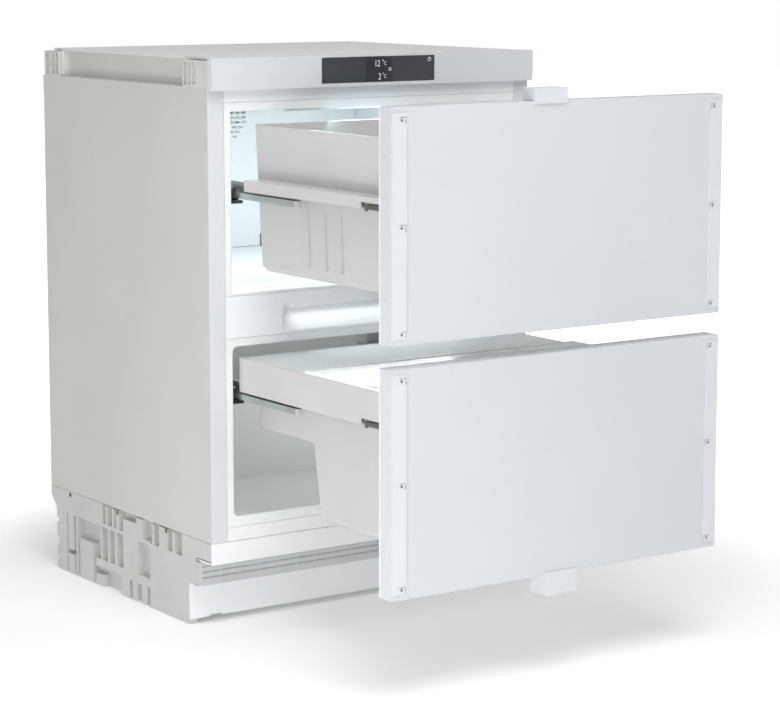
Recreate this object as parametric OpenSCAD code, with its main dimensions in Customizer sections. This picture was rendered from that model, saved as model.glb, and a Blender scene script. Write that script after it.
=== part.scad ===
// Undercounter drawer refrigerator, drawn with both drawers pulled out.
// Millimetres. x is to the right, y to the back, z up from the floor.
// Inside each module y is counted from the cabinet's front plane.

/* [Cabinet] */
// Width of the cabinet shell
cab_w = 597; // [594:0.5:600]
// Depth of the cabinet shell behind its front plane
cab_d = 533; // [530:1:540]
// Height from the floor to the top plate
cab_h = 875; // [874:1:880]
// Distance of the cabinet's front plane in front of the origin
front_offset = 30; // [0:1:60]
// Thickness of the steel sheets
sheet = 1.2; // [0.8:0.1:1.5]
// Width of the steel flange beside each opening
flange_w = 28; // [27:0.5:29]
// Height of the lower edge of the steel sides
side_z0 = 140.5; // [140:0.5:141]
// Height of the upper edge of the steel sides
side_z1 = 830.5; // [830:0.5:832]

/* [Compartments] */
// Width of both openings
opening_w = 518; // [516:1:520]
// Depth of both compartments
inner_d = 440; // [440:1:446]
// Floor of the upper compartment
upper_floor = 532; // [531:0.5:533]
// Ceiling of the upper compartment
upper_ceiling = 795; // [794:0.5:796]
// Lower edge of the lower opening
lower_sill = 178.4; // [177:0.2:179]
// Ceiling of the lower compartment
lower_ceiling = 440; // [440:0.5:442]
// Thickness of the liners
liner_t = 2.5; // [2:0.5:3]
// Depth of the air duct behind the upper back cover
duct_d = 50; // [46:1:54]

/* [Drawers] */
// How far each drawer front moves to close
drawer_travel = 433; // [420:1:433]
// Width of a drawer front
front_w = 587.5; // [586:0.5:588]
// Thickness of a drawer front
front_t = 28.4; // [28:0.2:30]
// Height of the upper drawer front
upper_front_h = 322; // [318:1:322]
// Height of the lower drawer front
lower_front_h = 320; // [316:1:320]
// Lower edge of the upper drawer front
upper_front_z = 503.7; // [503.7:0.1:504]
// Lower edge of the lower drawer front
lower_front_z = 151.2; // [151:0.1:152]
// Thickness of the seal round each front
gasket_t = 9.7; // [9:0.1:9.7]

/* [Baskets] */
// Wall thickness of the baskets
basket_t = 3; // [2.5:0.5:3.5]
// Upper edge of the upper basket
upper_rim_z = 775; // [770:1:778]
// Underside of the upper basket
upper_base_z = 554; // [550:1:556]
// Upper edge of the lower basket
lower_rim_z = 424; // [422:1:424]
// Underside of the lower basket's deep front part
lower_base_z = 200; // [196:1:204]
// Underside of the lower basket's shallow rear part
lower_step_z = 314; // [313:1:318]
// Thickness of the glass covers
glass_t = 4; // [3.5:0.5:4]

/* [Runners] */
// Height of the underside of the upper runners
upper_rail_z = 656; // [655:0.5:657]
// Height of the underside of the lower runners
lower_rail_z = 351; // [350:0.5:352]
// Length of the runner member on the cabinet
cab_rail_l = 400; // [380:1:402]
// Length of the middle runner member
mid_rail_l = 380; // [370:1:382]
// Thickness of the runner steel
rail_t = 1.2; // [1:0.1:1.5]

/* [Base] */
// Height of the base below the steel sides
base_h = 140; // [139.5:0.5:140]
// Set-back of the plinth panel from the front plane
plinth_y = 67.7; // [66:0.1:69]
// Set-back of the ventilation grille from the front plane
grille_y = 41.4; // [40:0.2:43]
// Height that each foot can be wound out
foot_travel = 45; // [20:1:45]

/* [Hidden] */
$fn = 48;
eps = 0.01;
joint_gap = 0.3;
running_gap = 0.08;

// Colours of the finishes
white_paint = "#DDE1E6";
grey_paint = "#C9C8C4";
white_plastic = "#E4E5E4";
grey_plastic = "#C4C5C2";
liner_white = "#E6F0F2";
basket_grey = "#D6D5D3";
bright_steel = "#A8B2B1";
dark_plastic = "#5C5D5B";
black_glass = "#3B3E45";
foam_yellow = "#E8DCA8";
copper_tone = "#B87346";

// Cabinet planes
side_x = cab_w / 2;
seam_x = side_x - flange_w - joint_gap;
opening_x = opening_w / 2;
top_z = cab_h;
plate_t = 3.5;
panel_z0 = 826.5;
panel_y = -13;
upper_rim_z0 = 517;
upper_rim_z1 = 808;
lower_rim_z0 = 162.3;
lower_rim_z1 = 452.5;
lower_floor = 170;
hump_y = 268;
hump_lean = 20;
hump_z = 300;
machine_y = 310;
machine_z = 255;
frame_x = 281;
frame_y1 = 510;
worktop_hole_x = 210;
worktop_hole_y = 24;

// Drawer planes with the drawers pulled out
closed_gap = 10;
front_back_y = -closed_gap - drawer_travel;
front_face_y = front_back_y - front_t;
upper_front_top = upper_front_z + upper_front_h;

// Basket planes
rim_x = 225;
floor_x = 213;
skirt_x = 250;
upper_basket_y1 = -9.5;
upper_skirt_z0 = 676.5;
upper_skirt_z1 = 694;
lower_basket_y1 = -4.6;
lower_skirt_z0 = 371.5;
glass_joint_y = -190;
step_top_y = -160;
step_base_y = -175;

// Places of the fixing holes in the drawer fronts
fix_x = 276.5;
fix_hole_r = 2.1;
fix_pitch_z = 144.5;
upper_fix_z = [518.2, 518.2 + fix_pitch_z, 518.2 + 2 * fix_pitch_z];
lower_fix_z = [165.7, 165.7 + fix_pitch_z, 165.7 + 2 * fix_pitch_z];
fix_depth = 12;

// Feet and machine compartment
foot_x = 252;
foot_y = [104, 478];
foot_stem_r = 5;
foot_pad_r = 17;
boss_r = 9;
tray_z = 6;
compressor_at = [-120, 415];
compressor_r = 76;
compressor_top = 197.5;
fan_x = 150;
fan_z = 66;
fan_y = 205;
circ_at = [0, 753];
circ_r = 40;
fan_pin_r = 3;
pipe_holes = [[120, 505, 5], [150, 480, 3]];

// ---- Helpers ----

module placed() translate([0, -front_offset, 0]) children();

module both_sides() {
    children();
    mirror([1, 0, 0]) children();
}

module box(x, y, z)
    translate([x[0], y[0], z[0]]) cube([x[1] - x[0], y[1] - y[0], z[1] - z[0]]);

// Draws (y, z) outlines and extrudes them from x0 to x1
module along_x(x0, x1)
    translate([x0, 0, 0]) rotate([90, 0, 90]) linear_extrude(x1 - x0) children();

// Draws (x, z) outlines and extrudes them from y0 to y1
module along_y(y0, y1)
    translate([0, y1, 0]) rotate([90, 0, 0]) linear_extrude(y1 - y0) children();

module rounded(x, z, r) {
    translate([x[0] + r, z[0]]) square([x[1] - x[0] - 2 * r, z[1] - z[0]]);
    translate([x[0], z[0] + r]) square([x[1] - x[0], z[1] - z[0] - 2 * r]);
    for (cx = [x[0] + r, x[1] - r], cz = [z[0] + r, z[1] - r])
        translate([cx, cz]) circle(r);
}

module rod(a, b, r) {
    v = b - a;
    translate(a)
        rotate([0, acos(v[2] / norm(v)), atan2(v[1], v[0])])
            cylinder(h = norm(v), r = r, $fn = 24);
}

// A bent tube through a list of points, with a ball at each bend
module tube(points, r) {
    last = len(points) - 1;
    trim = 1.05 * r;
    for (i = [0:last - 1]) {
        run = points[i + 1] - points[i];
        way = run / norm(run);
        rod(points[i] + (i > 0 ? trim : 0) * way,
            points[i + 1] - (i < last - 1 ? trim : 0) * way, r);
    }
    for (i = [1:last - 1]) translate(points[i]) sphere(1.5 * r, $fn = 32);
}

// Rotor about the z axis, its hub from z = 0 upwards
module rotor(hub_r, tip_r, height, blades, bore_r) {
    difference() {
        union() {
            cylinder(h = height, r = hub_r);
            for (i = [0:blades - 1])
                rotate([0, 0, i * 360 / blades])
                    translate([hub_r - 3, 0, height / 2])
                        rotate([38, 0, 0])
                            translate([0, -height * 0.55, -0.6])
                                cube([tip_r - hub_r + 2, height * 1.1, 1.2]);
        }
        translate([0, 0, -1]) cylinder(h = height * 0.7 + 1, r = bore_r);
    }
}

// ---- Cabinet shell ----

module side_panel() {
    box([-side_x, -frame_x + 2], [sheet, cab_d - sheet], [side_z1 - sheet, side_z1]);
    translate([0, 0, side_z0]) linear_extrude(side_z1 - side_z0)
        polygon([
            [-side_x, 0], [-side_x + flange_w, 0], [-side_x + flange_w, sheet],
            [-side_x + sheet, sheet], [-side_x + sheet, cab_d - sheet],
            [-side_x + 18, cab_d - sheet], [-side_x + 18, cab_d], [-side_x, cab_d]
        ]);
}

module side_panel_left() color(grey_paint) placed() side_panel();

module side_panel_right() color(grey_paint) placed() mirror([1, 0, 0]) side_panel();

// Rear sheet, folded over the foam at its top and round the machine compartment below
module rear_panel() color(grey_paint) placed() {
    lip_x = side_x - 18 - joint_gap;
    lining_x = side_x - 14 - joint_gap;
    lining_y = [machine_y + joint_gap, cab_d - sheet - joint_gap];
    lining_z1 = machine_z - joint_gap;
    difference() {
        union() {
            box([-side_x + 2, side_x - 2], [cab_d, cab_d + 1], [lining_z1 - sheet, side_z1]);
            box([-frame_x + 2.3, frame_x - 2.3], [frame_y1 - 3.5, cab_d + 1],
                [side_z1 - sheet, side_z1]);
            box([-lip_x, lip_x], [lining_y[1] - 1, cab_d + 1], [lining_z1 - sheet, lining_z1]);
            difference() {
                box([-lining_x, lining_x], lining_y, [side_z0 + joint_gap, lining_z1]);
                box([-lining_x + sheet, lining_x - sheet], [lining_y[0] + sheet, cab_d],
                    [side_z0 - 1, lining_z1 - sheet]);
            }
        }
        for (hole = pipe_holes) translate([hole[0], hole[1], machine_z - 5])
            cylinder(h = 10, r = hole[2]);
        for (z = [machine_z + 12, side_z1 - 14], x = [-220, 0, 220])
            translate([x, cab_d - 1, z]) rotate([-90, 0, 0]) cylinder(h = 4, r = 2.1);
    }
}

module top_panel() color(grey_paint) placed() {
    edge_x = 290;
    plate_y1 = 508;
    difference() {
        box([-edge_x, edge_x], [0, plate_y1], [top_z - plate_t, top_z]);
        for (x = [-worktop_hole_x, worktop_hole_x])
            translate([x, worktop_hole_y, top_z - plate_t - 1]) cylinder(h = plate_t + 2, r = 3);
        for (x = [-150, 150]) box([x - 22, x + 22], [5, 8], [top_z - 1, top_z + 1]);
    }
}

module top_frame() color(grey_paint) placed() {
    wall = 3;
    fillet_r = 14;
    difference() {
        box([-frame_x, frame_x], [0.5, frame_y1], [side_z1, top_z - plate_t]);
        box([-frame_x + wall, frame_x - wall], [0.5 + wall, frame_y1 - wall],
            [side_z1 - 1, top_z]);
    }
    both_sides() difference() {
        box([-frame_x - fillet_r, -frame_x], [476.5 - fillet_r, 476.5],
            [side_z1, top_z - plate_t]);
        translate([-frame_x - fillet_r, 476.5 - fillet_r, side_z1 - 1])
            cylinder(h = 60, r = fillet_r);
    }
}

// A ribbed plastic block between the side recess and the corner;
// grooves: y from, y to, height of the foot, depth
module corner_block(y, z, grooves) {
    difference() {
        box([-side_x, -frame_x], y, z);
        for (g = grooves) box([-side_x - 1, -side_x + g[3]], [y[0] + g[0], y[0] + g[1]],
            [z[0] + g[2], z[1] - 3]);
    }
}

module top_corner_blocks() color(grey_plastic) placed() both_sides() {
    corner_block([476.5, 528], [side_z1, top_z - 4.5],
        [[4, 13, 3, 5], [17, 26, 3, 5], [29, 34, 16, 3], [37, 48, 3, 6]]);
    corner_block([0, 74], [side_z1, top_z - 4.5],
        [[62, 71, 3, 5], [49, 58, 3, 4], [35, 46, 5, 4], [8, 16, 26, 1.5], [8, 16, 12, 1]]);
}

// ---- Foamed body ----

module upper_cavity(grow)
    along_x(-opening_x - grow, opening_x + grow)
        polygon([
            [-1, 520.5 - grow], [0, 520.5 - grow], [18, upper_floor - grow],
            [inner_d + duct_d + grow, upper_floor - grow],
            [inner_d + duct_d + grow, upper_ceiling + grow], [-1, upper_ceiling + grow]
        ]);

module lower_cavity(grow)
    along_x(-opening_x - grow, opening_x + grow)
        polygon([
            [-1, lower_sill - grow], [liner_t, lower_sill - grow],
            [liner_t + 4, lower_floor - grow], [hump_y + grow, lower_floor - grow],
            [hump_y + hump_lean + grow, hump_z - grow], [inner_d + grow, hump_z - grow],
            [inner_d + grow, lower_ceiling + grow], [-1, lower_ceiling + grow]
        ]);

module insulation_foam() color(foam_yellow) placed() {
    skin = sheet + joint_gap;
    difference() {
        union() {
            box([-side_x + skin, side_x - skin], [skin, cab_d - skin],
                [side_z0 + 0.5, side_z1 - skin]);
            box([-frame_x + 3.3, frame_x - 3.3], [5, frame_y1 - 4],
                [side_z1 - 5, top_z - plate_t - joint_gap]);
        }
        upper_cavity(liner_t + joint_gap);
        lower_cavity(liner_t + joint_gap);
        box([-seam_x - 1, seam_x + 1], [-1, 3.4], [side_z0, side_z1]);
        box([-seam_x - 1, seam_x + 1], [-1, 22.5], [lower_rim_z1 - 1, upper_rim_z0 + 1]);
        box([-seam_x - 1, seam_x + 1], [-1, 16], [upper_rim_z1 - 1, side_z1]);
        box([-seam_x - 1, seam_x + 1], [-1, 16], [side_z0, lower_rim_z0 + 1]);
        box([-side_x + 14, side_x - 14], [machine_y, cab_d + 1], [side_z0 - 1, machine_z]);
        for (x = [-worktop_hole_x, worktop_hole_x]) translate([x, worktop_hole_y, 845])
            cylinder(h = 30, r = 7);
    }
}

module liner_rim(z, hole_z, r)
    along_y(0, liner_t) difference() {
        translate([-seam_x, z[0]]) square([2 * seam_x, z[1] - z[0]]);
        rounded([-opening_x, opening_x], hole_z, r);
    }

module upper_liner() color(liner_white) placed() {
    difference() {
        union() {
            liner_rim([upper_rim_z0, upper_rim_z1], [upper_rim_z0 + 8, upper_ceiling], 5);
            intersection() {
                upper_cavity(liner_t);
                box([-300, 300], [0, 600], [0, 900]);
            }
        }
        upper_cavity(0);
    }
}

module lower_liner() color(liner_white) placed() {
    liner_rim([lower_rim_z0, lower_rim_z1], [lower_sill, lower_ceiling], 9);
    difference() {
        intersection() {
            lower_cavity(liner_t);
            box([-300, 300], [liner_t - eps, 600], [0, 900]);
        }
        lower_cavity(0);
    }
}

// A steel bar folded back at its upper and lower edges
module folded_bar(z, depth)
    along_x(-seam_x, seam_x)
        polygon([
            [0, z[0]], [depth, z[0]], [depth, z[0] + sheet], [sheet, z[0] + sheet],
            [sheet, z[1] - sheet], [depth, z[1] - sheet], [depth, z[1]], [0, z[1]]
        ]);

module top_bar() color(white_paint) placed()
    folded_bar([upper_rim_z1 + joint_gap, panel_z0 - joint_gap], 14);

module bottom_bar() color(white_paint) placed()
    folded_bar([side_z0 + joint_gap, lower_rim_z0 - joint_gap], 14);

scoop_x = 169.7;
scoop_top_z = 497;
scoop_base_z = 457;
scoop_d = 13;

module middle_bar() color(white_plastic) placed() {
    difference() {
        box([-seam_x, seam_x], [0, 21], [lower_rim_z1 + joint_gap, upper_rim_z0 - joint_gap]);
        intersection() {
            along_x(-scoop_x, scoop_x) polygon([
                [-1, scoop_top_z], [scoop_d, scoop_top_z], [scoop_d, scoop_top_z - 7],
                [0, scoop_base_z], [-1, scoop_base_z - 2]
            ]);
            translate([0, 0, scoop_base_z - 5]) linear_extrude(60) polygon([
                [-scoop_x, -1], [-scoop_x, 0], [-scoop_x + scoop_d, scoop_d],
                [scoop_x - scoop_d, scoop_d], [scoop_x, 0], [scoop_x, -1]
            ]);
        }
        box([-160, 160], [scoop_d + 2.5, 22], [scoop_base_z + 6, scoop_top_z + 8]);
    }
}

module light_strip() color("#F6FBFF") placed() {
    half_l = 150;
    box([-half_l, half_l], [scoop_d - 7, scoop_d - joint_gap],
        [scoop_top_z - 5, scoop_top_z - joint_gap]);
    box([-half_l, half_l], [14, 26], [upper_ceiling - 4, upper_ceiling]);
}

module lower_fascia() color(white_paint) placed()
    along_x(-side_x, side_x) polygon([
        [0, 107], [grille_y - 0.4, 107], [grille_y - 0.4, 109.5], [2.5, 109.5],
        [2.5, side_z0 - joint_gap], [0, side_z0 - joint_gap]
    ]);

// ---- Controls ----

display_x = 105;
display_z = [832, 871.5];

module control_panel() color(white_paint) placed() {
    wall = 2.5;
    difference() {
        box([-side_x, side_x], [panel_y, -joint_gap], [panel_z0, top_z]);
        box([-side_x + wall, side_x - wall], [panel_y + wall, 1],
            [panel_z0 + wall, top_z - wall]);
        box([-display_x, display_x], [panel_y - 1, panel_y + wall + 1], display_z);
    }
}

module display_glass() color(black_glass) placed()
    along_y(panel_y, panel_y + 2.4)
        rounded([-display_x + joint_gap, display_x - joint_gap],
            [display_z[0] + joint_gap, display_z[1] - joint_gap], 1);

module control_board() color("#3F7A4B") placed() {
    box([-92, 92], [-8, -6.4], [836, 867]);
    for (x = [-70, -28, 22, 60]) box([x, x + 16], [-6.4, -3], [844, 858]);
    box([-12, 12], [-10.6, -8], [846, 860]);
}

// ---- Base ----

// Raised pads on the side of the base: y from, y to, z from, z to
upper_pads = [
    [352, 514, 106, 140], [336, 342, 104, 138], [312, 319, 104, 138], [295.5, 305, 104, 138],
    [238, 282, 104, 128], [217, 238.5, 104, 138], [181, 187, 104, 138], [137, 164, 104, 138],
    [114, 122, 104, 138], [2.8, 92, 112, 140], [50, 92, 104, 114]
];
lower_pads = [
    [478, 489, 2, 103], [454, 474, 42, 103], [452, 474, 2, 34], [440, 446, 2, 103],
    [385, 433, 2, 67], [354, 359, 42, 103], [328, 335, 44, 103], [304, 311, 44, 103],
    [234, 282, 44, 103], [194, 376, 32, 46], [262, 290, 2, 34], [236, 252, 2, 34],
    [206, 222, 2, 34], [plinth_y + 3.4, 194, 2, 104], [grille_y + 3, plinth_y + 4, 69, 104]
];
rear_notch_z = [[79, 88], [39, 55], [14, 22]];
screw_y = [141.5, 300, 464.5];
screw_z = 134.5;
pad_depth = 14;
side_bottom_z = 1.5;

module base_side() {
    web_x = -side_x + pad_depth;
    difference() {
        union() {
            along_x(web_x - 2.5, web_x) polygon([
                [grille_y + 3, 69], [plinth_y + 3.4, 69], [plinth_y + 3.4, side_bottom_z],
                [512, side_bottom_z], [512, base_h], [grille_y + 3, base_h]
            ]);
            for (p = concat(upper_pads, lower_pads))
                box([-side_x, web_x - 1], [p[0], p[1]], [p[2] - 2 + side_bottom_z, p[3]]);
            along_x(-side_x, web_x) polygon([
                [488, side_bottom_z], [514, side_bottom_z], [514, 105], [cab_d, 125],
                [cab_d, base_h], [488, base_h]
            ]);
            box([-side_x, web_x], [194, 514], [101, 107]);
            box([-side_x, web_x], [352, 376], [side_bottom_z, 20]);
            box([web_x - 1, web_x + 16], [plinth_y + 4, 512], [tray_z + 16, tray_z + 19]);
        }
        for (z = rear_notch_z)
            box([-side_x - 1, web_x - 4], [507, 520], z);
        for (y = screw_y) translate([-side_x - 1, y, screw_z]) rotate([0, 90, 0])
            cylinder(h = pad_depth + 6, r = 2.2);
        for (y = screw_y) translate([-side_x - 1, y, screw_z]) rotate([0, 90, 0])
            cylinder(h = 3.2, r = 4);
        for (y = foot_y) translate([-foot_x, y, 0])
            cylinder(h = 60, r = boss_r + 8);
    }
}

module base_side_left() color(grey_plastic) placed() base_side();

module base_side_right() color(grey_plastic) placed() mirror([1, 0, 0]) base_side();

module base_screws() color(dark_plastic) placed() both_sides()
    for (y = screw_y) translate([-side_x, y, screw_z]) rotate([0, 90, 0]) {
        translate([0, 0, 0.2]) difference() {
            cylinder(h = 1.9, r = 3.6);
            translate([0, 0, -0.1]) cylinder(h = 1.2, r = 1.6, $fn = 6);
        }
        translate([0, 0, 2]) cylinder(h = pad_depth - 1, r = 1.9);
    }

module at_feet()
    for (x = [-foot_x, foot_x], y = foot_y) translate([x, y, tray_z]) children();

module base_tray() color(bright_steel) placed() {
    wall = 1.5;
    x1 = side_x - pad_depth - joint_gap;
    y = [plinth_y + 6, 511];
    well_r = foot_pad_r + 1;
    well_h = 4.5;
    bracket_y = [507.2, 508.8];
    difference() {
        union() {
            box([inlet_x - 27, inlet_x + 27], bracket_y, [tray_z, inlet_z + 18]);
            box([inlet_x - 27, inlet_x + 27], [bracket_y[0], y[1]], [tray_z, tray_z + 10]);
            difference() {
                box([-x1, x1], y, [tray_z, tray_z + 14]);
                box([-x1 + wall, x1 - wall], [y[0] + wall, y[1] - wall],
                    [tray_z + wall, tray_z + 15]);
            }
            at_feet() {
                cylinder(h = well_h + wall, r = well_r + wall);
                cylinder(h = 48, r = boss_r);
            }
        }
        box([inlet_x - inlet_body[0] - joint_gap, inlet_x + inlet_body[0] + joint_gap],
            [bracket_y[0] - 1, bracket_y[1] + 1],
            [inlet_z - inlet_body[1] - joint_gap, inlet_z + inlet_body[1] + joint_gap]);
        at_feet() translate([0, 0, -1]) {
            cylinder(h = well_h + 1, r = well_r);
            cylinder(h = 70, r = foot_stem_r + joint_gap);
        }
    }
}

module vent_grille() color(white_plastic) placed() {
    slot_l = 31.5;
    slot_h = 2.8;
    slot_rise = 6;
    slot_pitch = 34.5;
    row_pitch = 9;
    difference() {
        along_x(-side_x, side_x) polygon([
            [grille_y, 66], [plinth_y + 2.5, 66], [plinth_y + 2.5, 68.5],
            [grille_y + 2.6, 68.5], [grille_y + 2.6, 104], [grille_y, 104]
        ]);
        for (i = [-8:8], row = [0:2])
            along_x(i * slot_pitch - slot_l / 2, i * slot_pitch + slot_l / 2)
                translate([grille_y, 75 + row * row_pitch]) polygon([
                    [-1, 0], [3.6, slot_rise], [3.6, slot_rise + slot_h], [-1, slot_h]
                ]);
    }
}

module plinth_panel() color(white_paint) placed() {
    z0 = 8;
    z1 = 66 - joint_gap;
    difference() {
        box([-side_x, side_x], [plinth_y, plinth_y + 3], [z0, z1]);
        for (x = [-foot_x, foot_x])
            box([x - 11, x + 11], [plinth_y - 1, plinth_y + 4], [z0 - 1, z0 + 3]);
    }
    both_sides() box([-side_x + 30, -side_x + 34], [plinth_y + 3, plinth_y + 5.5], [20, 58]);
}

// Winding foot; its stem stays in its boss when it is wound all the way out
module foot(x, y) translate([x, y, 0]) {
    stem_l = foot_travel + 27;
    difference() {
        union() {
            cylinder(h = 3, r1 = foot_pad_r - 1.5, r2 = foot_pad_r);
            translate([0, 0, 3]) cylinder(h = 4, r = foot_pad_r);
        }
        for (a = [0:60:300]) rotate([0, 0, a]) translate([foot_pad_r, 0, -1])
            cylinder(h = 9, r = 2.5);
    }
    translate([0, 0, 7 - eps]) cylinder(h = 2.5, r = 7, $fn = 6);
    translate([0, 0, 7]) cylinder(h = stem_l, r = foot_stem_r);
}

module foot_front_left() color(dark_plastic) placed() foot(-foot_x, foot_y[0]);

module foot_front_right() color(dark_plastic) placed() foot(foot_x, foot_y[0]);

module foot_rear_left() color(dark_plastic) placed() foot(-foot_x, foot_y[1]);

module foot_rear_right() color(dark_plastic) placed() foot(foot_x, foot_y[1]);

// ---- Refrigeration ----

mount_h = 14;
mount_z = tray_z + 1.5;
plate_z = mount_z + mount_h;
mount_offset = [72, 52];

module compressor() color("#2F3133") placed()
    translate([compressor_at[0], compressor_at[1], 0]) {
        pot_z = plate_z + 4;
        pot_h = compressor_top - pot_z;
        rotate_extrude() intersection() {
            translate([0, pot_z]) rounded([-compressor_r, compressor_r], [0, pot_h], 42);
            translate([0, pot_z]) square([compressor_r + 1, pot_h]);
        }
        translate([0, 0, pot_z + 88]) cylinder(h = 5, r = compressor_r + 2.5);
        difference() {
            translate([0, 0, plate_z]) linear_extrude(6)
                square([2 * mount_offset[0] + 26, 2 * mount_offset[1] + 26], center = true);
            for (x = [-1, 1], y = [-1, 1])
                translate([x * mount_offset[0], y * mount_offset[1], plate_z - 1])
                    cylinder(h = 9, r = 6.2);
        }
        translate([compressor_r - 8, -22, pot_z + 50]) cube([24, 44, 40]);
        for (stub = [[hot_stub, hot_pipe_r], [cold_stub, cold_pipe_r]])
            translate([0, stub[0][1] - compressor_at[1], stub[0][2]]) rotate([0, 90, 0])
                cylinder(h = stub[0][0] - compressor_at[0], r = stub[1]);
    }

module compressor_mounts() color("#222222") placed()
    for (x = [-1, 1], y = [-1, 1])
        translate([compressor_at[0] + x * mount_offset[0],
            compressor_at[1] + y * mount_offset[1], mount_z]) {
            cylinder(h = mount_h, r = 11);
            cylinder(h = mount_h + 9, r = 5.9);
        }

// Tubes through a stack of fins: x range, y rows, z rows
module fin_block(x, y, z, fin_pitch, fin_t, margin, tube_r) {
    rows = len(y);
    for (yy = y, zz = z) rod([x[0], yy, zz], [x[1], yy, zz], tube_r);
    for (fx = [x[0] + 4:fin_pitch:x[1] - 4])
        box([fx, fx + fin_t], [y[0] - margin, y[rows - 1] + margin],
            [z[0] - margin, z[len(z) - 1] + margin]);
}

// Return bends that join neighbouring tubes of one row
module return_bends(x, y, z, from, side, tube_r)
    for (i = [from:2:len(z) - 2]) translate([x, y, (z[i] + z[i + 1]) / 2])
        rotate([90, 0, 0]) rotate_extrude(angle = 180 * side, start = -90, $fn = 32)
            translate([(z[1] - z[0]) / 2, 0]) circle(tube_r, $fn = 20);

cond_x = [62, 238];
cond_y = [130, 152];
cond_z = [22, 42, 62, 82, 102];
cond_tube_r = 3.2;

module condenser() color(bright_steel) placed() {
    fin_block(cond_x, cond_y, cond_z, 9, 0.8, 9, cond_tube_r);
    for (y = cond_y) {
        return_bends(cond_x[1], y, cond_z, 0, 1, cond_tube_r);
        return_bends(cond_x[0], y, cond_z, 1, -1, cond_tube_r);
    }
    translate([cond_x[0], (cond_y[0] + cond_y[1]) / 2, cond_z[0]])
        rotate_extrude(angle = 180, start = 90, $fn = 32)
            translate([(cond_y[1] - cond_y[0]) / 2, 0]) circle(cond_tube_r, $fn = 20);
    for (x = [cond_x[0] + 2, cond_x[1] - 5])
        box([x, x + 3], [cond_y[0] - 12, cond_y[1] + 12], [tray_z + 1.5, cond_z[4] + 10]);
}

fan_r = 52;

module condenser_fan_frame() color(dark_plastic) placed() {
    half = 58;
    along_y(fan_y - 12, fan_y + 14) difference() {
        rounded([fan_x - half, fan_x + half], [tray_z + 1.5, fan_z + half - 2], 6);
        translate([fan_x, fan_z]) circle(fan_r + 2);
    }
    along_y(fan_y + 9, fan_y + 14) {
        translate([fan_x, fan_z]) circle(17);
        for (a = [45:90:315]) translate([fan_x, fan_z]) rotate(a)
            translate([10, -3]) square([fan_r - 4, 6]);
    }
    translate([fan_x, fan_y + 10, fan_z]) rotate([90, 0, 0]) cylinder(h = 14, r = fan_pin_r);
}

module condenser_fan() color("#26282A") placed()
    translate([fan_x, fan_y - 9, fan_z]) rotate([-90, 0, 0])
        mirror([0, 0, 1]) translate([0, 0, -16])
            rotor(15, fan_r - 1, 16, 7, fan_pin_r + running_gap);

module evaporation_tray() color(grey_plastic) placed() {
    x = [compressor_at[0] - 82, compressor_at[0] + 82];
    y = [compressor_at[1] - 80, compressor_at[1] + 80];
    z = [208, 240];
    wall = 2.5;
    difference() {
        box(x, y, z);
        box([x[0] + wall, x[1] - wall], [y[0] + wall, y[1] - wall], [z[0] + wall, z[1] + 1]);
    }
    for (s = [-1, 1]) translate([compressor_at[0] + s * 40, compressor_at[1], compressor_top + 0.1])
        cylinder(h = z[0] - compressor_top, r = 8);
}

hot_pipe_r = 3;
cold_pipe_r = 4;
hot_stub = [compressor_at[0] + compressor_r + 4, 440, 60];
cold_stub = [compressor_at[0] + compressor_r + 2, 470, 100];

module pipework() color(copper_tone) placed() {
    inlet = [cond_x[1], cond_y[1], cond_z[4]];
    outlet = [cond_x[1], cond_y[0], cond_z[4]];
    dryer = [180, 430];
    tube([hot_stub, [-14, 440, 60], [-14, 440, 130], [254, 440, 130],
        [254, inlet[1], 130], [254, inlet[1], inlet[2]], inlet], hot_pipe_r);
    tube([cold_stub, [-20, 470, 100], [-20, 505, 100], [-20, 505, 235],
        [120, 505, 235], [120, 505, machine_z]], cold_pipe_r);
    tube([outlet, [245, outlet[1], outlet[2]], [245, outlet[1], 117], [245, dryer[1], 117],
        [dryer[0], dryer[1], 117], [dryer[0], dryer[1], 89]], hot_pipe_r);
    translate([dryer[0], dryer[1], 30]) cylinder(h = 60, r = 9);
    tube([[dryer[0], dryer[1], 31], [dryer[0], dryer[1], 20], [150, dryer[1], 20],
        [150, 480, 20], [150, 480, machine_z]], 2);
}

evap_y = [458, 474];
evap_z = [570, 592, 614, 636, 658];

module evaporator() color(bright_steel) placed() {
    x = [-190, 190];
    fin_block(x, evap_y, evap_z, 12, 0.8, 9, 4);
    for (yy = evap_y) {
        return_bends(x[1], yy, evap_z, 0, 1, 4);
        return_bends(x[0], yy, evap_z, 1, -1, 4);
    }
    for (ear = [x[0] + 4, x[1] - 8])
        box([ear, ear + 4], [evap_y[1], inner_d + duct_d], [evap_z[0] - 9, evap_z[4] + 9]);
}

module back_cover() color(liner_white) placed() {
    y = [inner_d, inner_d + 3];
    row_pitch = 8;
    slot = 9;
    difference() {
        along_y(y[0], y[1]) rounded([-opening_x + 0.5, opening_x - 0.5],
            [upper_floor + 0.5, upper_ceiling - 0.5], 4);
        for (row = [-4:4]) {
            half = sqrt(pow(circ_r - 3, 2) - pow(row * row_pitch, 2));
            count = floor(2 * half / (slot + 3));
            for (i = [0:count - 1])
                box([circ_at[0] + (i - count / 2) * (slot + 3) + 1.5,
                    circ_at[0] + (i - count / 2) * (slot + 3) + 1.5 + slot],
                    [y[0] - 1, y[1] + 1],
                    [circ_at[1] + row * row_pitch - 1.8, circ_at[1] + row * row_pitch + 1.8]);
        }
    }
    translate([circ_at[0], y[1], circ_at[1]]) rotate([-90, 0, 0]) difference() {
        cylinder(h = 22, r = circ_r - 1);
        translate([0, 0, -1]) cylinder(h = 24, r = circ_r - 3);
    }
    translate([circ_at[0], y[1] - eps, circ_at[1]]) rotate([-90, 0, 0])
        cylinder(h = 12.4, r = fan_pin_r);
}

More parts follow.
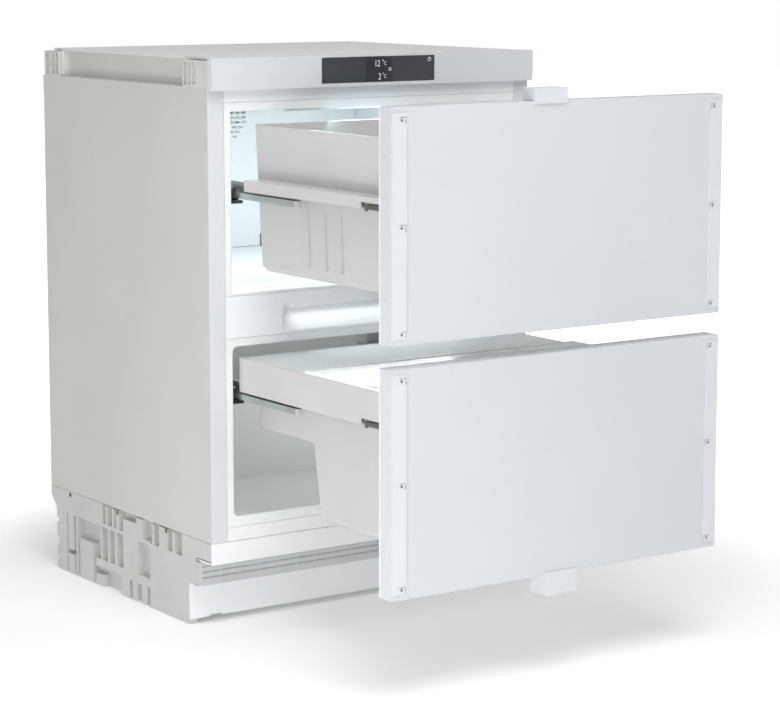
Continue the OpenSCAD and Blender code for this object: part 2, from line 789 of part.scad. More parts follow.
module circulation_fan() color("#EDEFEF") placed()
    translate([circ_at[0], inner_d + 6, circ_at[1]]) rotate([-90, 0, 0])
        rotor(11, circ_r - 5, 14, 7, fan_pin_r + running_gap);

inlet_x = 210;
inlet_z = 88;
inlet_body = [16, 13];

module power_inlet() color("#26282A") placed() {
    x = inlet_x;
    z = inlet_z;
    difference() {
        union() {
            box([x - inlet_body[0], x + inlet_body[0]], [480, 512],
                [z - inlet_body[1], z + inlet_body[1]]);
            box([x - 24, x + 24], [509, 512], [z - 15, z + 15]);
        }
        along_y(496, 513) rounded([x - 12, x + 12], [z - 8.5, z + 8.5], 3);
    }
    for (dx = [-7, 0, 7]) box([x + dx - 1, x + dx + 1], [495, 505],
        [z - 2 + (dx == 0 ? 3 : 0), z + 2 + (dx == 0 ? 3 : 0)]);
}

// ---- Runners ----

rail_y0 = 2;
mid_front_y = -163;
catch_pivot_y = -424;
catch_pin_r = 1.2;
bolt_y = [60, 200, 340];

// Member screwed to the compartment wall, left side
module cabinet_rail(z) {
    x = -opening_x + joint_gap;
    difference() {
        along_y(rail_y0, rail_y0 + cab_rail_l) polygon([
            [x, z], [x + 21.5, z], [x + 21.5, z + 5], [x + 21.5 - rail_t, z + 5],
            [x + 21.5 - rail_t, z + rail_t], [x + rail_t, z + rail_t],
            [x + rail_t, z + 27 - rail_t], [x + 6, z + 27 - rail_t], [x + 6, z + 27], [x, z + 27]
        ]);
        for (y = bolt_y) translate([x - 1, y, z + 18]) rotate([0, 90, 0])
            cylinder(h = 4, r = 2.2);
    }
}

module tube_section(x, z) difference() {
    translate([x[0], z[0]]) square([x[1] - x[0], z[1] - z[0]]);
    translate([x[0] + rail_t, z[0] + rail_t])
        square([x[1] - x[0] - 2 * rail_t, z[1] - z[0] - 2 * rail_t]);
}

// Middle member, left side: a slim tube with a raised web, on a carriage
// that stays in the cabinet member
module middle_rail(z) {
    x1 = -240;
    y1 = mid_front_y + mid_rail_l;
    tube_z1 = z + 17.5;
    along_y(mid_front_y, y1) {
        tube_section([-250.5, x1], [z + 8.5, tube_z1]);
        translate([x1 - rail_t, tube_z1 - eps]) square([rail_t, z + 33.2 - tube_z1]);
        translate([x1 - rail_t, z + 32]) square([5, rail_t]);
    }
    along_y(rail_y0 + 8, y1) tube_section([-256, x1], [z + 3, z + 10]);
}

// Member under the basket's flange, left side
module drawer_rail(z) {
    along_y(front_back_y, -15) difference() {
        translate([-245.5, z + 22]) square([13.5, 14]);
        translate([-245.5 + rail_t, z + 21]) square([13.5 - 2 * rail_t, 15 - rail_t]);
    }
    translate([-250.2, catch_pivot_y, z + 25]) rotate([0, 90, 0]) cylinder(h = 5.2, r = catch_pin_r);
}

module upper_cabinet_rails() color(bright_steel) placed()
    both_sides() cabinet_rail(upper_rail_z);

module lower_cabinet_rails() color(bright_steel) placed()
    both_sides() cabinet_rail(lower_rail_z);

module upper_middle_rails() color(bright_steel) placed()
    both_sides() middle_rail(upper_rail_z);

module lower_middle_rails() color(bright_steel) placed()
    both_sides() middle_rail(lower_rail_z);

module upper_drawer_rails() color(bright_steel) placed()
    both_sides() drawer_rail(upper_rail_z);

module lower_drawer_rails() color(bright_steel) placed()
    both_sides() drawer_rail(lower_rail_z);

// ---- Drawer fronts ----

module fixing_bores(holes, y)
    for (s = [-1, 1], z = holes) translate([s * fix_x, y[0], z]) rotate([-90, 0, 0])
        cylinder(h = y[1] - y[0], r = fix_hole_r);

module front_panel(z0, height, holes) difference() {
    along_y(front_face_y, front_back_y - 3)
        rounded([-front_w / 2, front_w / 2], [z0, z0 + height], 2.5);
    along_y(front_face_y + sheet, front_back_y)
        rounded([-front_w / 2 + sheet, front_w / 2 - sheet],
            [z0 + sheet, z0 + height - sheet], 1.3);
    fixing_bores(holes, [front_face_y - 1, front_face_y + 3]);
}

// Foam core with the plastic inner face, dished inside the seal
module front_core(z0, height, holes, dish_z) {
    lip = sheet + joint_gap;
    difference() {
        union() {
            along_y(front_face_y + lip, front_back_y - 3)
                rounded([-front_w / 2 + lip, front_w / 2 - lip],
                    [z0 + lip, z0 + height - lip], 1);
            along_y(front_back_y - 2.7, front_back_y)
                rounded([-front_w / 2, front_w / 2], [z0, z0 + height], 2.5);
            along_y(front_back_y - 4, front_back_y - 1)
                rounded([-front_w / 2 + 4, front_w / 2 - 4], [z0 + 4, z0 + height - 4], 1);
        }
        along_y(front_back_y - 5, front_back_y + 1)
            rounded([-240, 240], dish_z, 12);
        fixing_bores(holes, [front_face_y - 1, front_face_y + fix_depth]);
    }
}

module gasket(z) along_y(front_back_y, front_back_y + gasket_t) difference() {
    rounded([-seam_x + 1, seam_x - 1], z, 6);
    rounded([-seam_x + 10, seam_x - 10], [z[0] + 9, z[1] - 9], 3);
}

// Screw-on strips that carry the furniture front
module fixing_rails(z0, height, holes) both_sides() {
    x0 = -front_w / 2 + 1.5;
    y0 = front_face_y - 1.4;
    difference() {
        along_y(y0, front_face_y) rounded([x0, x0 + 24], [z0 + 8, z0 + height - 8], 1.5);
        fixing_bores(holes, [y0 - 1, front_face_y + 1]);
        for (z = holes) box([-fix_x + 5, -fix_x + 7], [y0 - 1, front_face_y + 1], [z - 5, z + 1]);
        for (z = holes) box([-fix_x - 4, -fix_x + 7], [y0 - 1, front_face_y + 1], [z + 3, z + 4.6]);
    }
}

// Hooked block that lines up the furniture front
module alignment_block(x, y1, z_edge, reach) {
    lip = 2.6;
    hold = 4;
    z0 = min(z_edge, z_edge + reach);
    z1 = max(z_edge, z_edge + reach);
    along_y(front_face_y - lip, y1) rounded([x - 29, x + 29], [z0, z1], 1.5);
    box([x - 29, x + 29], [front_face_y - lip, front_face_y],
        reach > 0 ? [z0 - hold, z0 + 3] : [z1 - 3, z1 + hold]);
}

module upper_front_panel() color(white_paint) placed()
    front_panel(upper_front_z, upper_front_h, upper_fix_z);

module lower_front_panel() color(white_paint) placed()
    front_panel(lower_front_z, lower_front_h, lower_fix_z);

module upper_front_core() color(white_plastic) placed()
    front_core(upper_front_z, upper_front_h, upper_fix_z, [550, 780]);

module lower_front_core() color(white_plastic) placed()
    front_core(lower_front_z, lower_front_h, lower_fix_z, [195, 425]);

module upper_gasket() color("#B9BCBC") placed()
    gasket([upper_rim_z0 + 2, upper_rim_z1 - 2]);

module lower_gasket() color("#B9BCBC") placed()
    gasket([lower_rim_z0 + 2, lower_rim_z1 - 2]);

module upper_fixing_rails() color(white_plastic) placed()
    fixing_rails(upper_front_z, upper_front_h, upper_fix_z);

module lower_fixing_rails() color(white_plastic) placed()
    fixing_rails(lower_front_z, lower_front_h, lower_fix_z);

module upper_alignment_block() color(grey_plastic) placed()
    alignment_block(-25.5, front_back_y - 4, upper_front_top, 18);

module lower_alignment_block() color(grey_plastic) placed()
    alignment_block(0, front_back_y + 4, lower_front_z, -30);

// ---- Baskets ----

// A thin plan slice with rounded corners at height z
module slice(x, y, z, r)
    translate([0, 0, z]) linear_extrude(0.5) hull()
        for (sx = [-x + r, x - r], sy = [y[0] + r, y[1] - r])
            translate([sx, sy]) circle(r, $fn = 32);

// Tapered tub between two plan slices, with a rounded foot
module tub(x_top, x_base, y_top, y_base, z, r) {
    foot = 8;
    hull() {
        slice(x_top, y_top, z[1] - 0.5, r);
        slice(x_base + 1, y_base, z[0] + foot, r);
        slice(x_base - foot + 3, [y_base[0] + foot - 3, y_base[1] - foot + 3], z[0], r);
    }
}

// Flange over the runner, left side, with open channels between the heights in hollows
module runner_flange(x_in, y, z, hollows) {
    wall = 2;
    difference() {
        box([-skirt_x, -x_in], y, z);
        for (h = hollows)
            box([-skirt_x + wall, -x_in - 3.5], [y[0] - 1, y[1] + 1], h);
        box([-skirt_x - 1, -skirt_x + wall + 2], [front_back_y - 1, -334],
            [z[0] - 1, z[0] + 9.5]);
    }
}

module upper_basket() color(basket_grey) placed() {
    y = [front_back_y + 3, upper_basket_y1];
    t = basket_t;
    roof_z = upper_skirt_z1 - 2;
    difference() {
        union() {
            tub(rim_x, floor_x, y, y, [upper_base_z, upper_rim_z], 8);
            both_sides() runner_flange(218, [y[0] + 4, -22], [upper_skirt_z0, upper_skirt_z1],
                [[upper_skirt_z0 - 1, roof_z]]);
            both_sides() for (ry = [-143, -188, -230])
                box([-219.4, -210], [ry - 9, ry + 9], [572, upper_skirt_z0]);
            box([-rim_x - 2, rim_x + 2], [y[0], y[0] + 12], [upper_rim_z - 4, upper_rim_z]);
        }
        tub(rim_x - t, floor_x - t, [y[0] + t, y[1] - t], [y[0] + t, y[1] - t],
            [upper_base_z + t, upper_rim_z + 1], 6);
        both_sides() box([-230, -rim_x + 0.5], [-24, 0], [upper_skirt_z1 + 1, upper_rim_z + 1]);
    }
}

// Space under the lower basket's shallow part and behind its deep part, t larger all round
module step_space(t) {
    foot = 7;
    rear_r = 12;
    rear = lower_basket_y1 - rear_r;
    along_x(-300, 300) {
        polygon([
            [step_base_y - foot - t, lower_base_z - 1], [step_base_y - foot - t, lower_base_z + t],
            [step_base_y + 0.8 - t, lower_base_z + foot - 1 + t], [step_top_y - t, lower_step_z + t],
            [20, lower_step_z + t], [20, lower_base_z - 1]
        ]);
        difference() {
            translate([rear, lower_step_z - 1]) square([rear_r + 20, rear_r + 1]);
            translate([rear, lower_step_z + rear_r]) circle(rear_r - t);
        }
    }
}

module lower_tub(t) {
    y = [front_back_y + 3 + t, lower_basket_y1 - t];
    difference() {
        tub(219 - t, floor_x - t, y, y, [lower_base_z + t, lower_rim_z + (t > 0 ? 1 : 0)], 8);
        step_space(t);
    }
}

module lower_basket() color(basket_grey) placed() {
    y = [front_back_y + 3, lower_basket_y1];
    roof_z = lower_rail_z + 36;
    ledge_z = lower_rim_z - glass_t - 0.4;
    rib_t = 2.4;
    rib_pitch = 46;
    difference() {
        union() {
            lower_tub(0);
            both_sides() runner_flange(217, [y[0] + 4, y[1]], [lower_skirt_z0, lower_rim_z],
                [[lower_skirt_z0 - 1, ledge_z - 2]]);
            both_sides() for (rib = [y[0] + 8:rib_pitch:y[1] - 12])
                box([-skirt_x + 1, -219], [rib, rib + rib_t], [roof_z, ledge_z - 1]);
        }
        lower_tub(basket_t);
        box([-246.5, 246.5], [glass_joint_y, y[1] - 3], [ledge_z, lower_rim_z + 1]);
    }
}

module rear_glass_cover() color("#CFE0DC", 0.6) placed()
    box([-246.1, 246.1], [glass_joint_y + 0.6, lower_basket_y1 - 3.4],
        [lower_rim_z - glass_t - 0.4, lower_rim_z - 0.4]);

module front_glass_cover() color("#DCEBE8", 0.6) placed() {
    y = [front_back_y + 3, glass_joint_y - 1.2];
    z = [lower_rim_z + 0.4, lower_rim_z + 0.4 + glass_t];
    box([-247, 247], y, z);
    box([-247, 247], [y[1], y[1] + 3], [z[0], z[1] + 0.8]);
    both_sides() box([-skirt_x, -247], [y[0], y[1] + 3], [z[0], z[1] + 0.2]);
}

// ---- Release catches ----

catch_y1 = -343;

// Lever in the notch of the flange, left side; z is the runner's underside
module catch_lever(z) {
    x = [-250.4, -246.4];
    pivot_z = z + 25;
    difference() {
        along_x(x[0], x[1]) polygon([
            [catch_pivot_y - 5, z + 20.5], [catch_y1 - 6, z + 20.5], [catch_y1 - 5, z + 17.8],
            [catch_y1 - 1, z + 17.8], [catch_y1, z + 21.5], [catch_y1, z + 27.5],
            [catch_pivot_y - 5, z + 29]
        ]);
        translate([x[0] - 1, catch_pivot_y, pivot_z]) rotate([0, 90, 0])
            cylinder(h = 8, r = catch_pin_r + running_gap);
    }
}

module upper_catches() color(dark_plastic) placed() both_sides() catch_lever(upper_rail_z);

module lower_catches() color(dark_plastic) placed() both_sides() catch_lever(lower_rail_z);

// ---- Assembly ----

side_panel_left();
side_panel_right();
rear_panel();
top_panel();
top_frame();
top_corner_blocks();
insulation_foam();
upper_liner();
lower_liner();
top_bar();
middle_bar();
light_strip();
bottom_bar();
lower_fascia();
control_panel();
display_glass();
control_board();
base_tray();
base_side_left();
base_side_right();
base_screws();
vent_grille();
plinth_panel();
foot_front_left();
foot_front_right();
foot_rear_left();
foot_rear_right();
compressor();
compressor_mounts();
condenser();
condenser_fan_frame();
condenser_fan();
evaporation_tray();
pipework();
back_cover();
circulation_fan();
evaporator();
power_inlet();
upper_cabinet_rails();
lower_cabinet_rails();
upper_middle_rails();
lower_middle_rails();
upper_drawer_rails();
lower_drawer_rails();
upper_front_panel();
upper_front_core();
upper_gasket();
upper_fixing_rails();
upper_alignment_block();
upper_basket();
upper_catches();
lower_front_panel();
lower_front_core();
lower_gasket();
lower_fixing_rails();
lower_alignment_block();
lower_basket();
lower_catches();
rear_glass_cover();
front_glass_cover();
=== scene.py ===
"""Looks of an undercounter drawer refrigerator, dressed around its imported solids."""

import logging
import math
from dataclasses import dataclass
from enum import Enum
from typing import Protocol, Sequence

import bmesh
import bpy
from mathutils import Matrix, Vector

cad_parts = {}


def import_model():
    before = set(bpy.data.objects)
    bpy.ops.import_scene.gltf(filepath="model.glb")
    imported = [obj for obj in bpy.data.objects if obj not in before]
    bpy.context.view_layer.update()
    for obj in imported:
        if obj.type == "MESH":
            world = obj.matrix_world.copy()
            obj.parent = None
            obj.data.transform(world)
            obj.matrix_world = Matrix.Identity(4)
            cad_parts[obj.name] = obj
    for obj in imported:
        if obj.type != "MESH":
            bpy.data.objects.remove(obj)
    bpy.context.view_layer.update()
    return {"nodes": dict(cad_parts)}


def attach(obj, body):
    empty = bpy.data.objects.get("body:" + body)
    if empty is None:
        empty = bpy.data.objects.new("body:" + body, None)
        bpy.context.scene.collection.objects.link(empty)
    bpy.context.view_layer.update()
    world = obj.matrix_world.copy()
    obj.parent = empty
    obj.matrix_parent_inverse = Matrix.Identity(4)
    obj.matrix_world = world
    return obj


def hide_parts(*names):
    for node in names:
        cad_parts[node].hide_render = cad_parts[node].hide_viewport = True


LOG = logging.getLogger("refrigerator")
MM = 0.001

FRONT_PLANE_Y = -30.0
UPPER_RAIL_Z = 656.0
LOWER_RAIL_Z = 351.0

Point = tuple[float, float, float]
Span = tuple[float, float]
Pair = tuple[float, float]
Colour = tuple[float, float, float, float]


class Body(str, Enum):
    """Rigid bodies of the refrigerator that a piece can ride on."""

    CABINET = "cabinet"
    UPPER_DRAWER = "upper_drawer"
    LOWER_DRAWER = "lower_drawer"
    UPPER_RUNNERS = "upper_runners"
    LOWER_RUNNERS = "lower_runners"
    UPPER_CATCHES = "upper_catch_pair"
    LOWER_CATCHES = "lower_catch_pair"
    CONDENSER_ROTOR = "condenser_rotor"
    CIRCULATION_ROTOR = "circulation_rotor"
    FRONT_LEFT_FOOT = "front_left_foot"
    FRONT_RIGHT_FOOT = "front_right_foot"
    REAR_LEFT_FOOT = "rear_left_foot"
    REAR_RIGHT_FOOT = "rear_right_foot"


class Level(Enum):
    """The two drawers, one over the other."""

    UPPER = "upper"
    LOWER = "lower"


class Grain(Enum):
    """Fine relief that a surface carries."""

    SMOOTH = "smooth"
    ORANGE_PEEL = "orange peel of powder coat"
    SPARK = "spark-eroded mould texture"
    BRUSHED = "lines of drawn or rolled steel"
    CELLS = "cells of cut foam"


def linear(code: str) -> Colour:
    """Turns a hex colour as seen on screen into a linear colour.

    Args:
        code: Six hex digits, with or without a leading hash.

    Returns:
        Linear red, green and blue with an alpha of one.
    """
    digits = code.lstrip("#")
    parts = [int(digits[i:i + 2], 16) / 255 for i in (0, 2, 4)]
    curve = [p / 12.92 if p <= 0.04045 else ((p + 0.055) / 1.055) ** 2.4 for p in parts]
    return (curve[0], curve[1], curve[2], 1.0)


class Tone:
    """A shader socket that takes part in plain arithmetic."""

    def __init__(self, shader: "Shader", socket: bpy.types.NodeSocket) -> None:
        """Keeps the socket and the shader it belongs to."""
        self.shader = shader
        self.socket = socket

    def _math(self, operation: str, left: object, right: object) -> "Tone":
        """Adds one Math node and returns its result."""
        return self.shader.node("ShaderNodeMath", {"operation": operation}, {0: left, 1: right})

    def __add__(self, other: object) -> "Tone":
        """Adds a socket or a number."""
        return self._math("ADD", self, other)

    def __rsub__(self, other: object) -> "Tone":
        """Is taken away from a number."""
        return self._math("SUBTRACT", other, self)

    def __mul__(self, other: object) -> "Tone":
        """Multiplies by a socket or a number."""
        return self._math("MULTIPLY", self, other)

    def __gt__(self, other: object) -> "Tone":
        """Gives one where this is greater and zero elsewhere."""
        return self._math("GREATER_THAN", self, other)

    def fade(self, start: float, end: float) -> "Tone":
        """Rises smoothly from zero at start to one at end."""
        return self.shader.node("ShaderNodeMapRange", {"interpolation_type": "SMOOTHSTEP"},
                                {"Value": self, "From Min": start, "From Max": end})


Feed = Tone | float | Sequence[float]


class Shader:
    """One material under construction."""

    def __init__(self, name: str) -> None:
        """Starts an empty node tree.

        Args:
            name: Name of the material.
        """
        self.material = bpy.data.materials.new(name)
        self.material.use_nodes = True
        self.tree = self.material.node_tree
        self.tree.nodes.clear()
        self._place: Tone | None = None

    def node(self, kind: str, settings: dict[str, object] | None = None,
             feeds: dict[object, Feed] | None = None, out: object = 0) -> Tone:
        """Adds a node, sets it and joins its inputs.

        Args:
            kind: Blender's name of the node type.
            settings: Values of the node itself, set first.
            feeds: Values or links of its inputs, by name or number.
            out: Name or number of the output to return.

        Returns:
            The chosen output.
        """
        made = self.tree.nodes.new(kind)
        for key, value in (settings or {}).items():
            setattr(made, key, value)
        for key, value in (feeds or {}).items():
            if isinstance(value, Tone):
                self.tree.links.new(value.socket, made.inputs[key])
            else:
                made.inputs[key].default_value = value
        return Tone(self, made.outputs[out])

    def place(self) -> Tone:
        """Makes the object's own coordinates, once.

        Returns:
            The coordinates, in metres.
        """
        if self._place is None:
            self._place = self.node("ShaderNodeTexCoord", out="Object")
        return self._place

    def axis(self, name: str) -> Tone:
        """Returns one of the object's coordinates, X, Y or Z."""
        return self.node("ShaderNodeSeparateXYZ", feeds={0: self.place()}, out=name)

    def stretched(self, factors: Point) -> Tone:
        """Returns the coordinates multiplied by a factor per axis."""
        return self.node("ShaderNodeVectorMath", {"operation": "MULTIPLY"},
                         {0: self.place(), 1: factors})

    def noise(self, size: float, detail: float = 2.0, where: Tone | None = None) -> Tone:
        """Returns soft noise whose lumps are about as large as size, in metres."""
        return self.node("ShaderNodeTexNoise", feeds={
            "Vector": where or self.place(), "Scale": 1 / size, "Detail": detail}, out=0)

    def blend(self, share: Feed, first: Feed, second: Feed) -> Tone:
        """Mixes two colours by a share from zero to one."""
        return self.node("ShaderNodeMix", {"data_type": "RGBA"},
                         {0: share, 6: first, 7: second}, out=2)

    def rounded(self, radius: float) -> Tone:
        """Returns normals that soften edges by a radius, in metres."""
        return self.node("ShaderNodeBevel", {"samples": 4}, {"Radius": radius})

    def bump(self, height: Tone, depth: float, normal: Tone | None = None) -> Tone:
        """Turns a height from zero to one into normals.

        Args:
            height: Height pattern.
            depth: Height of one, in metres.
            normal: Normals to start from.

        Returns:
            The bent normals.
        """
        feeds: dict[object, Feed] = {"Height": height, "Distance": depth, "Strength": 1.0}
        if normal is not None:
            feeds["Normal"] = normal
        return self.node("ShaderNodeBump", feeds=feeds)

    def surface(self, values: dict[str, Feed]) -> Tone:
        """Adds the main shader with the given inputs."""
        return self.node("ShaderNodeBsdfPrincipled", feeds=values)

    def finish(self, surface: Tone) -> bpy.types.Material:
        """Joins the surface to the output.

        Args:
            surface: The finished shader.

        Returns:
            The material.
        """
        output = self.tree.nodes.new("ShaderNodeOutputMaterial")
        self.tree.links.new(surface.socket, output.inputs["Surface"])
        return self.material


@dataclass(frozen=True)
class Finish:
    """An opaque finish with a drifting tone, a fine grain, softened edges and, where asked, painted
    light: a lighter tone on a fold at the front.

    Lengths are in millimetres. Tones are hex colours as seen on screen.
    """

    name: str
    tone: str
    shade: str
    roughness: float = 0.45
    drift: float = 0.06
    patch: float = 120.0
    grain: Grain = Grain.SMOOTH
    grain_size: float = 1.0
    relief: float = 0.02
    edge: float = 0.6
    metallic: float = 0.0
    coat: float = 0.0
    glow: float = 0.0
    along: Point = (1.0, 1.0, 1.0)
    # Lighter tone painted on a fold's front face: painted light, since the fold is the same sheet
    # and paint as the rest.
    front_fold_painted_light: str = ""
    front_y: float = -28.6

    def colour(self, shader: Shader) -> Tone:
        """Makes the colour pattern, with painted light where there is a fold at the front: a
        lighter tone on the fold's front face stands in for the light it catches.

        Args:
            shader: The material under construction.

        Returns:
            The colour.
        """
        patches = shader.noise(self.patch * MM, 3.0)
        specks = shader.noise(self.grain_size * MM * 2, 1.0)
        share = (patches * 0.8 + specks * 0.2).fade(0.35, 0.65)
        body = shader.blend(share, linear(self.tone), linear(self.shade))
        if not self.front_fold_painted_light:
            return body
        # Painted light: ahead of front_y the fold's front face takes the lighter tone.
        fold = 1 - shader.axis("Y").fade((self.front_y - 0.2) * MM, self.front_y * MM)
        return shader.blend(fold, body, linear(self.front_fold_painted_light))

    def relief_pattern(self, shader: Shader) -> Tone:
        """Makes the grain.

        Args:
            shader: The material under construction.

        Returns:
            A height from zero to one.
        """
        size = self.grain_size * MM
        if self.grain is Grain.BRUSHED:
            return shader.noise(size, 2.0, shader.stretched(self.along))
        if self.grain is Grain.CELLS:
            return shader.node("ShaderNodeTexVoronoi", {"feature": "F1"},
                               {"Vector": shader.place(), "Scale": 1 / size}, out="Distance")
        if self.grain is Grain.SPARK:
            return shader.noise(size, 3.0) * 0.6 + shader.noise(size * 0.4, 1.0) * 0.4
        return shader.noise(size, 1.0)

    def build(self) -> bpy.types.Material:
        """Makes the material.

        Returns:
            The material, ready to wear.
        """
        shader = Shader(self.name)
        grain = self.relief_pattern(shader)
        normal = shader.bump(grain, self.relief * MM, shader.rounded(self.edge * MM))
        wear = shader.noise(self.patch * MM * 0.4, 4.0)
        values: dict[str, Feed] = {
            "Base Color": self.colour(shader),
            "Roughness": wear * (2 * self.drift) + (self.roughness - self.drift),
            "Metallic": self.metallic,
            "Coat Weight": self.coat,
            "Coat Roughness": 0.12,
            "Normal": normal,
        }
        if self.glow:
            values["Emission Color"] = linear(self.tone)
            values["Emission Strength"] = self.glow
        return shader.finish(shader.surface(values))


@dataclass(frozen=True)
class FloatGlass:
    """Glass sheet with a pale tint and, if asked, a white trim along its borders."""

    name: str
    tint: str = "#F2F8F8"
    trim: str = "#FFFFFF"
    clear: float = 0.04
    border: float | None = None
    trim_from: float = -0.2228

    def build(self) -> bpy.types.Material:
        """Makes the material.

        Returns:
            The material, ready to wear.
        """
        shader = Shader(self.name)
        smears = shader.noise(0.05, 4.0)
        pane = shader.surface({
            "Base Color": linear(self.tint),
            "Roughness": smears * 0.05 + 0.12,
            "Transmission Weight": self.clear,
            "IOR": 1.5,
        })
        if self.border is None:
            return shader.finish(pane)
        outside = shader.node("ShaderNodeMath", {"operation": "ABSOLUTE"}, {0: shader.axis("X")})
        mask = shader.node("ShaderNodeMath", {"operation": "MAXIMUM"},
                           {0: outside > self.border, 1: shader.axis("Y") > self.trim_from})
        edging = shader.surface({
            "Base Color": linear(self.trim),
            "Roughness": smears * 0.1 + 0.3,
            "Normal": shader.rounded(0.6 * MM),
        })
        mixed = shader.node("ShaderNodeMixShader", feeds={0: mask, 1: pane, 2: edging})
        return shader.finish(mixed)


class Finishes:
    """All finishes of the refrigerator, each made once.

    After its name and two tones, a finish here gives its roughness, drift, patch, grain, grain
    size, relief and edge.
    """

    SPECS: tuple[Finish | FloatGlass, ...] = (
        # Side sheet: its grey tone is painted shade for the shaded side of white-painted steel, and
        # its front fold's lighter tone is painted light.
        Finish("side_paint", "#CFCECA", "#CAC9C5", 0.42, 0.05, 260, Grain.ORANGE_PEEL, 2.2, 0.02,
               1.2, front_fold_painted_light="#D8DADE"),
        Finish("front_paint", "#D1D5DA", "#CED2D7", 0.36, 0.05, 300, Grain.ORANGE_PEEL, 2.4, 0.02,
               1.4, coat=0.15),
        Finish("white_paint", "#F2F4F6", "#EFF1F3", 0.4, 0.05, 200, Grain.ORANGE_PEEL, 2.0, 0.02,
               1.0),
        Finish("top_plate", "#DCDDDC", "#D8D9D8", 0.55, 0.06, 160, Grain.SPARK, 0.9, 0.03, 0.8),
        Finish("white_plastic", "#F4F6F8", "#F1F3F5", 0.46, 0.05, 140, Grain.SPARK, 0.6, 0.015,
               0.8),
        Finish("grey_plastic", "#CDCCCA", "#C8C7C5", 0.56, 0.07, 90, Grain.SPARK, 0.8, 0.04, 0.7),
        Finish("strip_plastic", "#D8DBE0", "#D5D8DD", 0.42, 0.05, 140, Grain.SPARK, 0.6, 0.015,
               0.8),
        # Vent grille tone darkened as painted shade for its recessed band under the fascia.
        Finish("grille_painted_shade_plastic", "#C9CBCD", "#C4C6C8", 0.56, 0.07, 90, Grain.SPARK, 0.8, 0.04, 0.7),
        Finish("frame_plastic", "#D3D2CF", "#CECDCA", 0.56, 0.07, 90, Grain.SPARK, 0.8, 0.04, 0.7),
        Finish("liner", "#F0F3F3", "#EDF0F1", 0.3, 0.05, 200, Grain.SMOOTH, 6.0, 0.03, 1.5,
               coat=0.2),
        Finish("basket", "#D0CFCD", "#CCCBC9", 0.34, 0.05, 180, Grain.SPARK, 0.7, 0.01, 1.4,
               coat=0.2),
        Finish("steel", "#BEC6C4", "#AFB7B6", 0.36, 0.1, 60, Grain.BRUSHED, 1.2, 0.02, 0.3,
               metallic=0.85, along=(1.0, 0.03, 1.0)),
        Finish("fins", "#C9CDCF", "#B9BEC1", 0.36, 0.1, 30, Grain.BRUSHED, 0.8, 0.02, 0.1,
               metallic=1.0, along=(1.0, 1.0, 0.05)),
        Finish("copper", "#C4805A", "#9E5B3C", 0.34, 0.12, 25, Grain.SMOOTH, 3.0, 0.02, 0.3,
               metallic=1.0),
        Finish("black_enamel", "#1C1D1F", "#232426", 0.3, 0.08, 50, Grain.ORANGE_PEEL, 1.6, 0.04,
               1.0, coat=0.3),
        Finish("rubber", "#2A2A2B", "#333334", 0.75, 0.08, 20, Grain.SPARK, 0.5, 0.05, 0.6),
        Finish("display_lit", "#E9EDF2", "#DDE3EA", 0.5, 0.04, 10, Grain.SMOOTH, 2.0, 0.0, 0.05,
               glow=0.3),
        Finish("display_zone", "#2A2D31", "#27292D", 0.2, 0.03, 60, Grain.SMOOTH, 20.0, 0.01, 0.1,
               coat=0.1),
        Finish("seal", "#C6C9C9", "#BDC1C1", 0.62, 0.06, 50, Grain.SPARK, 0.6, 0.02, 0.8),
        Finish("dark_plastic", "#5E5F60", "#545556", 0.5, 0.08, 30, Grain.SPARK, 0.5, 0.03, 0.5),
        Finish("black_plastic", "#2C2D2F", "#262729", 0.48, 0.08, 40, Grain.SPARK, 0.6, 0.03, 0.5),
        Finish("smoked_glass", "#34373D", "#303339", 0.1, 0.03, 60, Grain.SMOOTH, 20.0, 0.01, 0.6,
               coat=0.6),
        Finish("circuit_board", "#2F7044", "#3B8050", 0.4, 0.1, 6, Grain.CELLS, 3.0, 0.05, 0.2),
        Finish("foam", "#E9DFB4", "#DDD09B", 0.9, 0.04, 40, Grain.CELLS, 1.6, 0.3, 0.4),
        Finish("lamp", "#EEF1F4", "#EBEEF2", 0.4, 0.02, 30, Grain.SMOOTH, 5.0, 0.01, 0.4,
               glow=0.04),
        FloatGlass("rear_glass"),
        FloatGlass("front_glass", border=0.2462),
    )

    def __init__(self) -> None:
        """Builds every material."""
        self._made: dict[str, bpy.types.Material] = {s.name: s.build() for s in self.SPECS}

    def get(self, name: str) -> bpy.types.Material:
        """Returns a material by the name of its finish."""
        return self._made[name]

    def dress(self, thing: bpy.types.Object, name: str) -> None:
        """Gives an object one finish all over.

        Args:
            thing: The object.
            name: Name of the finish.
        """
        if not thing.data.materials:
            thing.data.materials.append(self.get(name))
        for slot in thing.material_slots:
            slot.material = self.get(name)


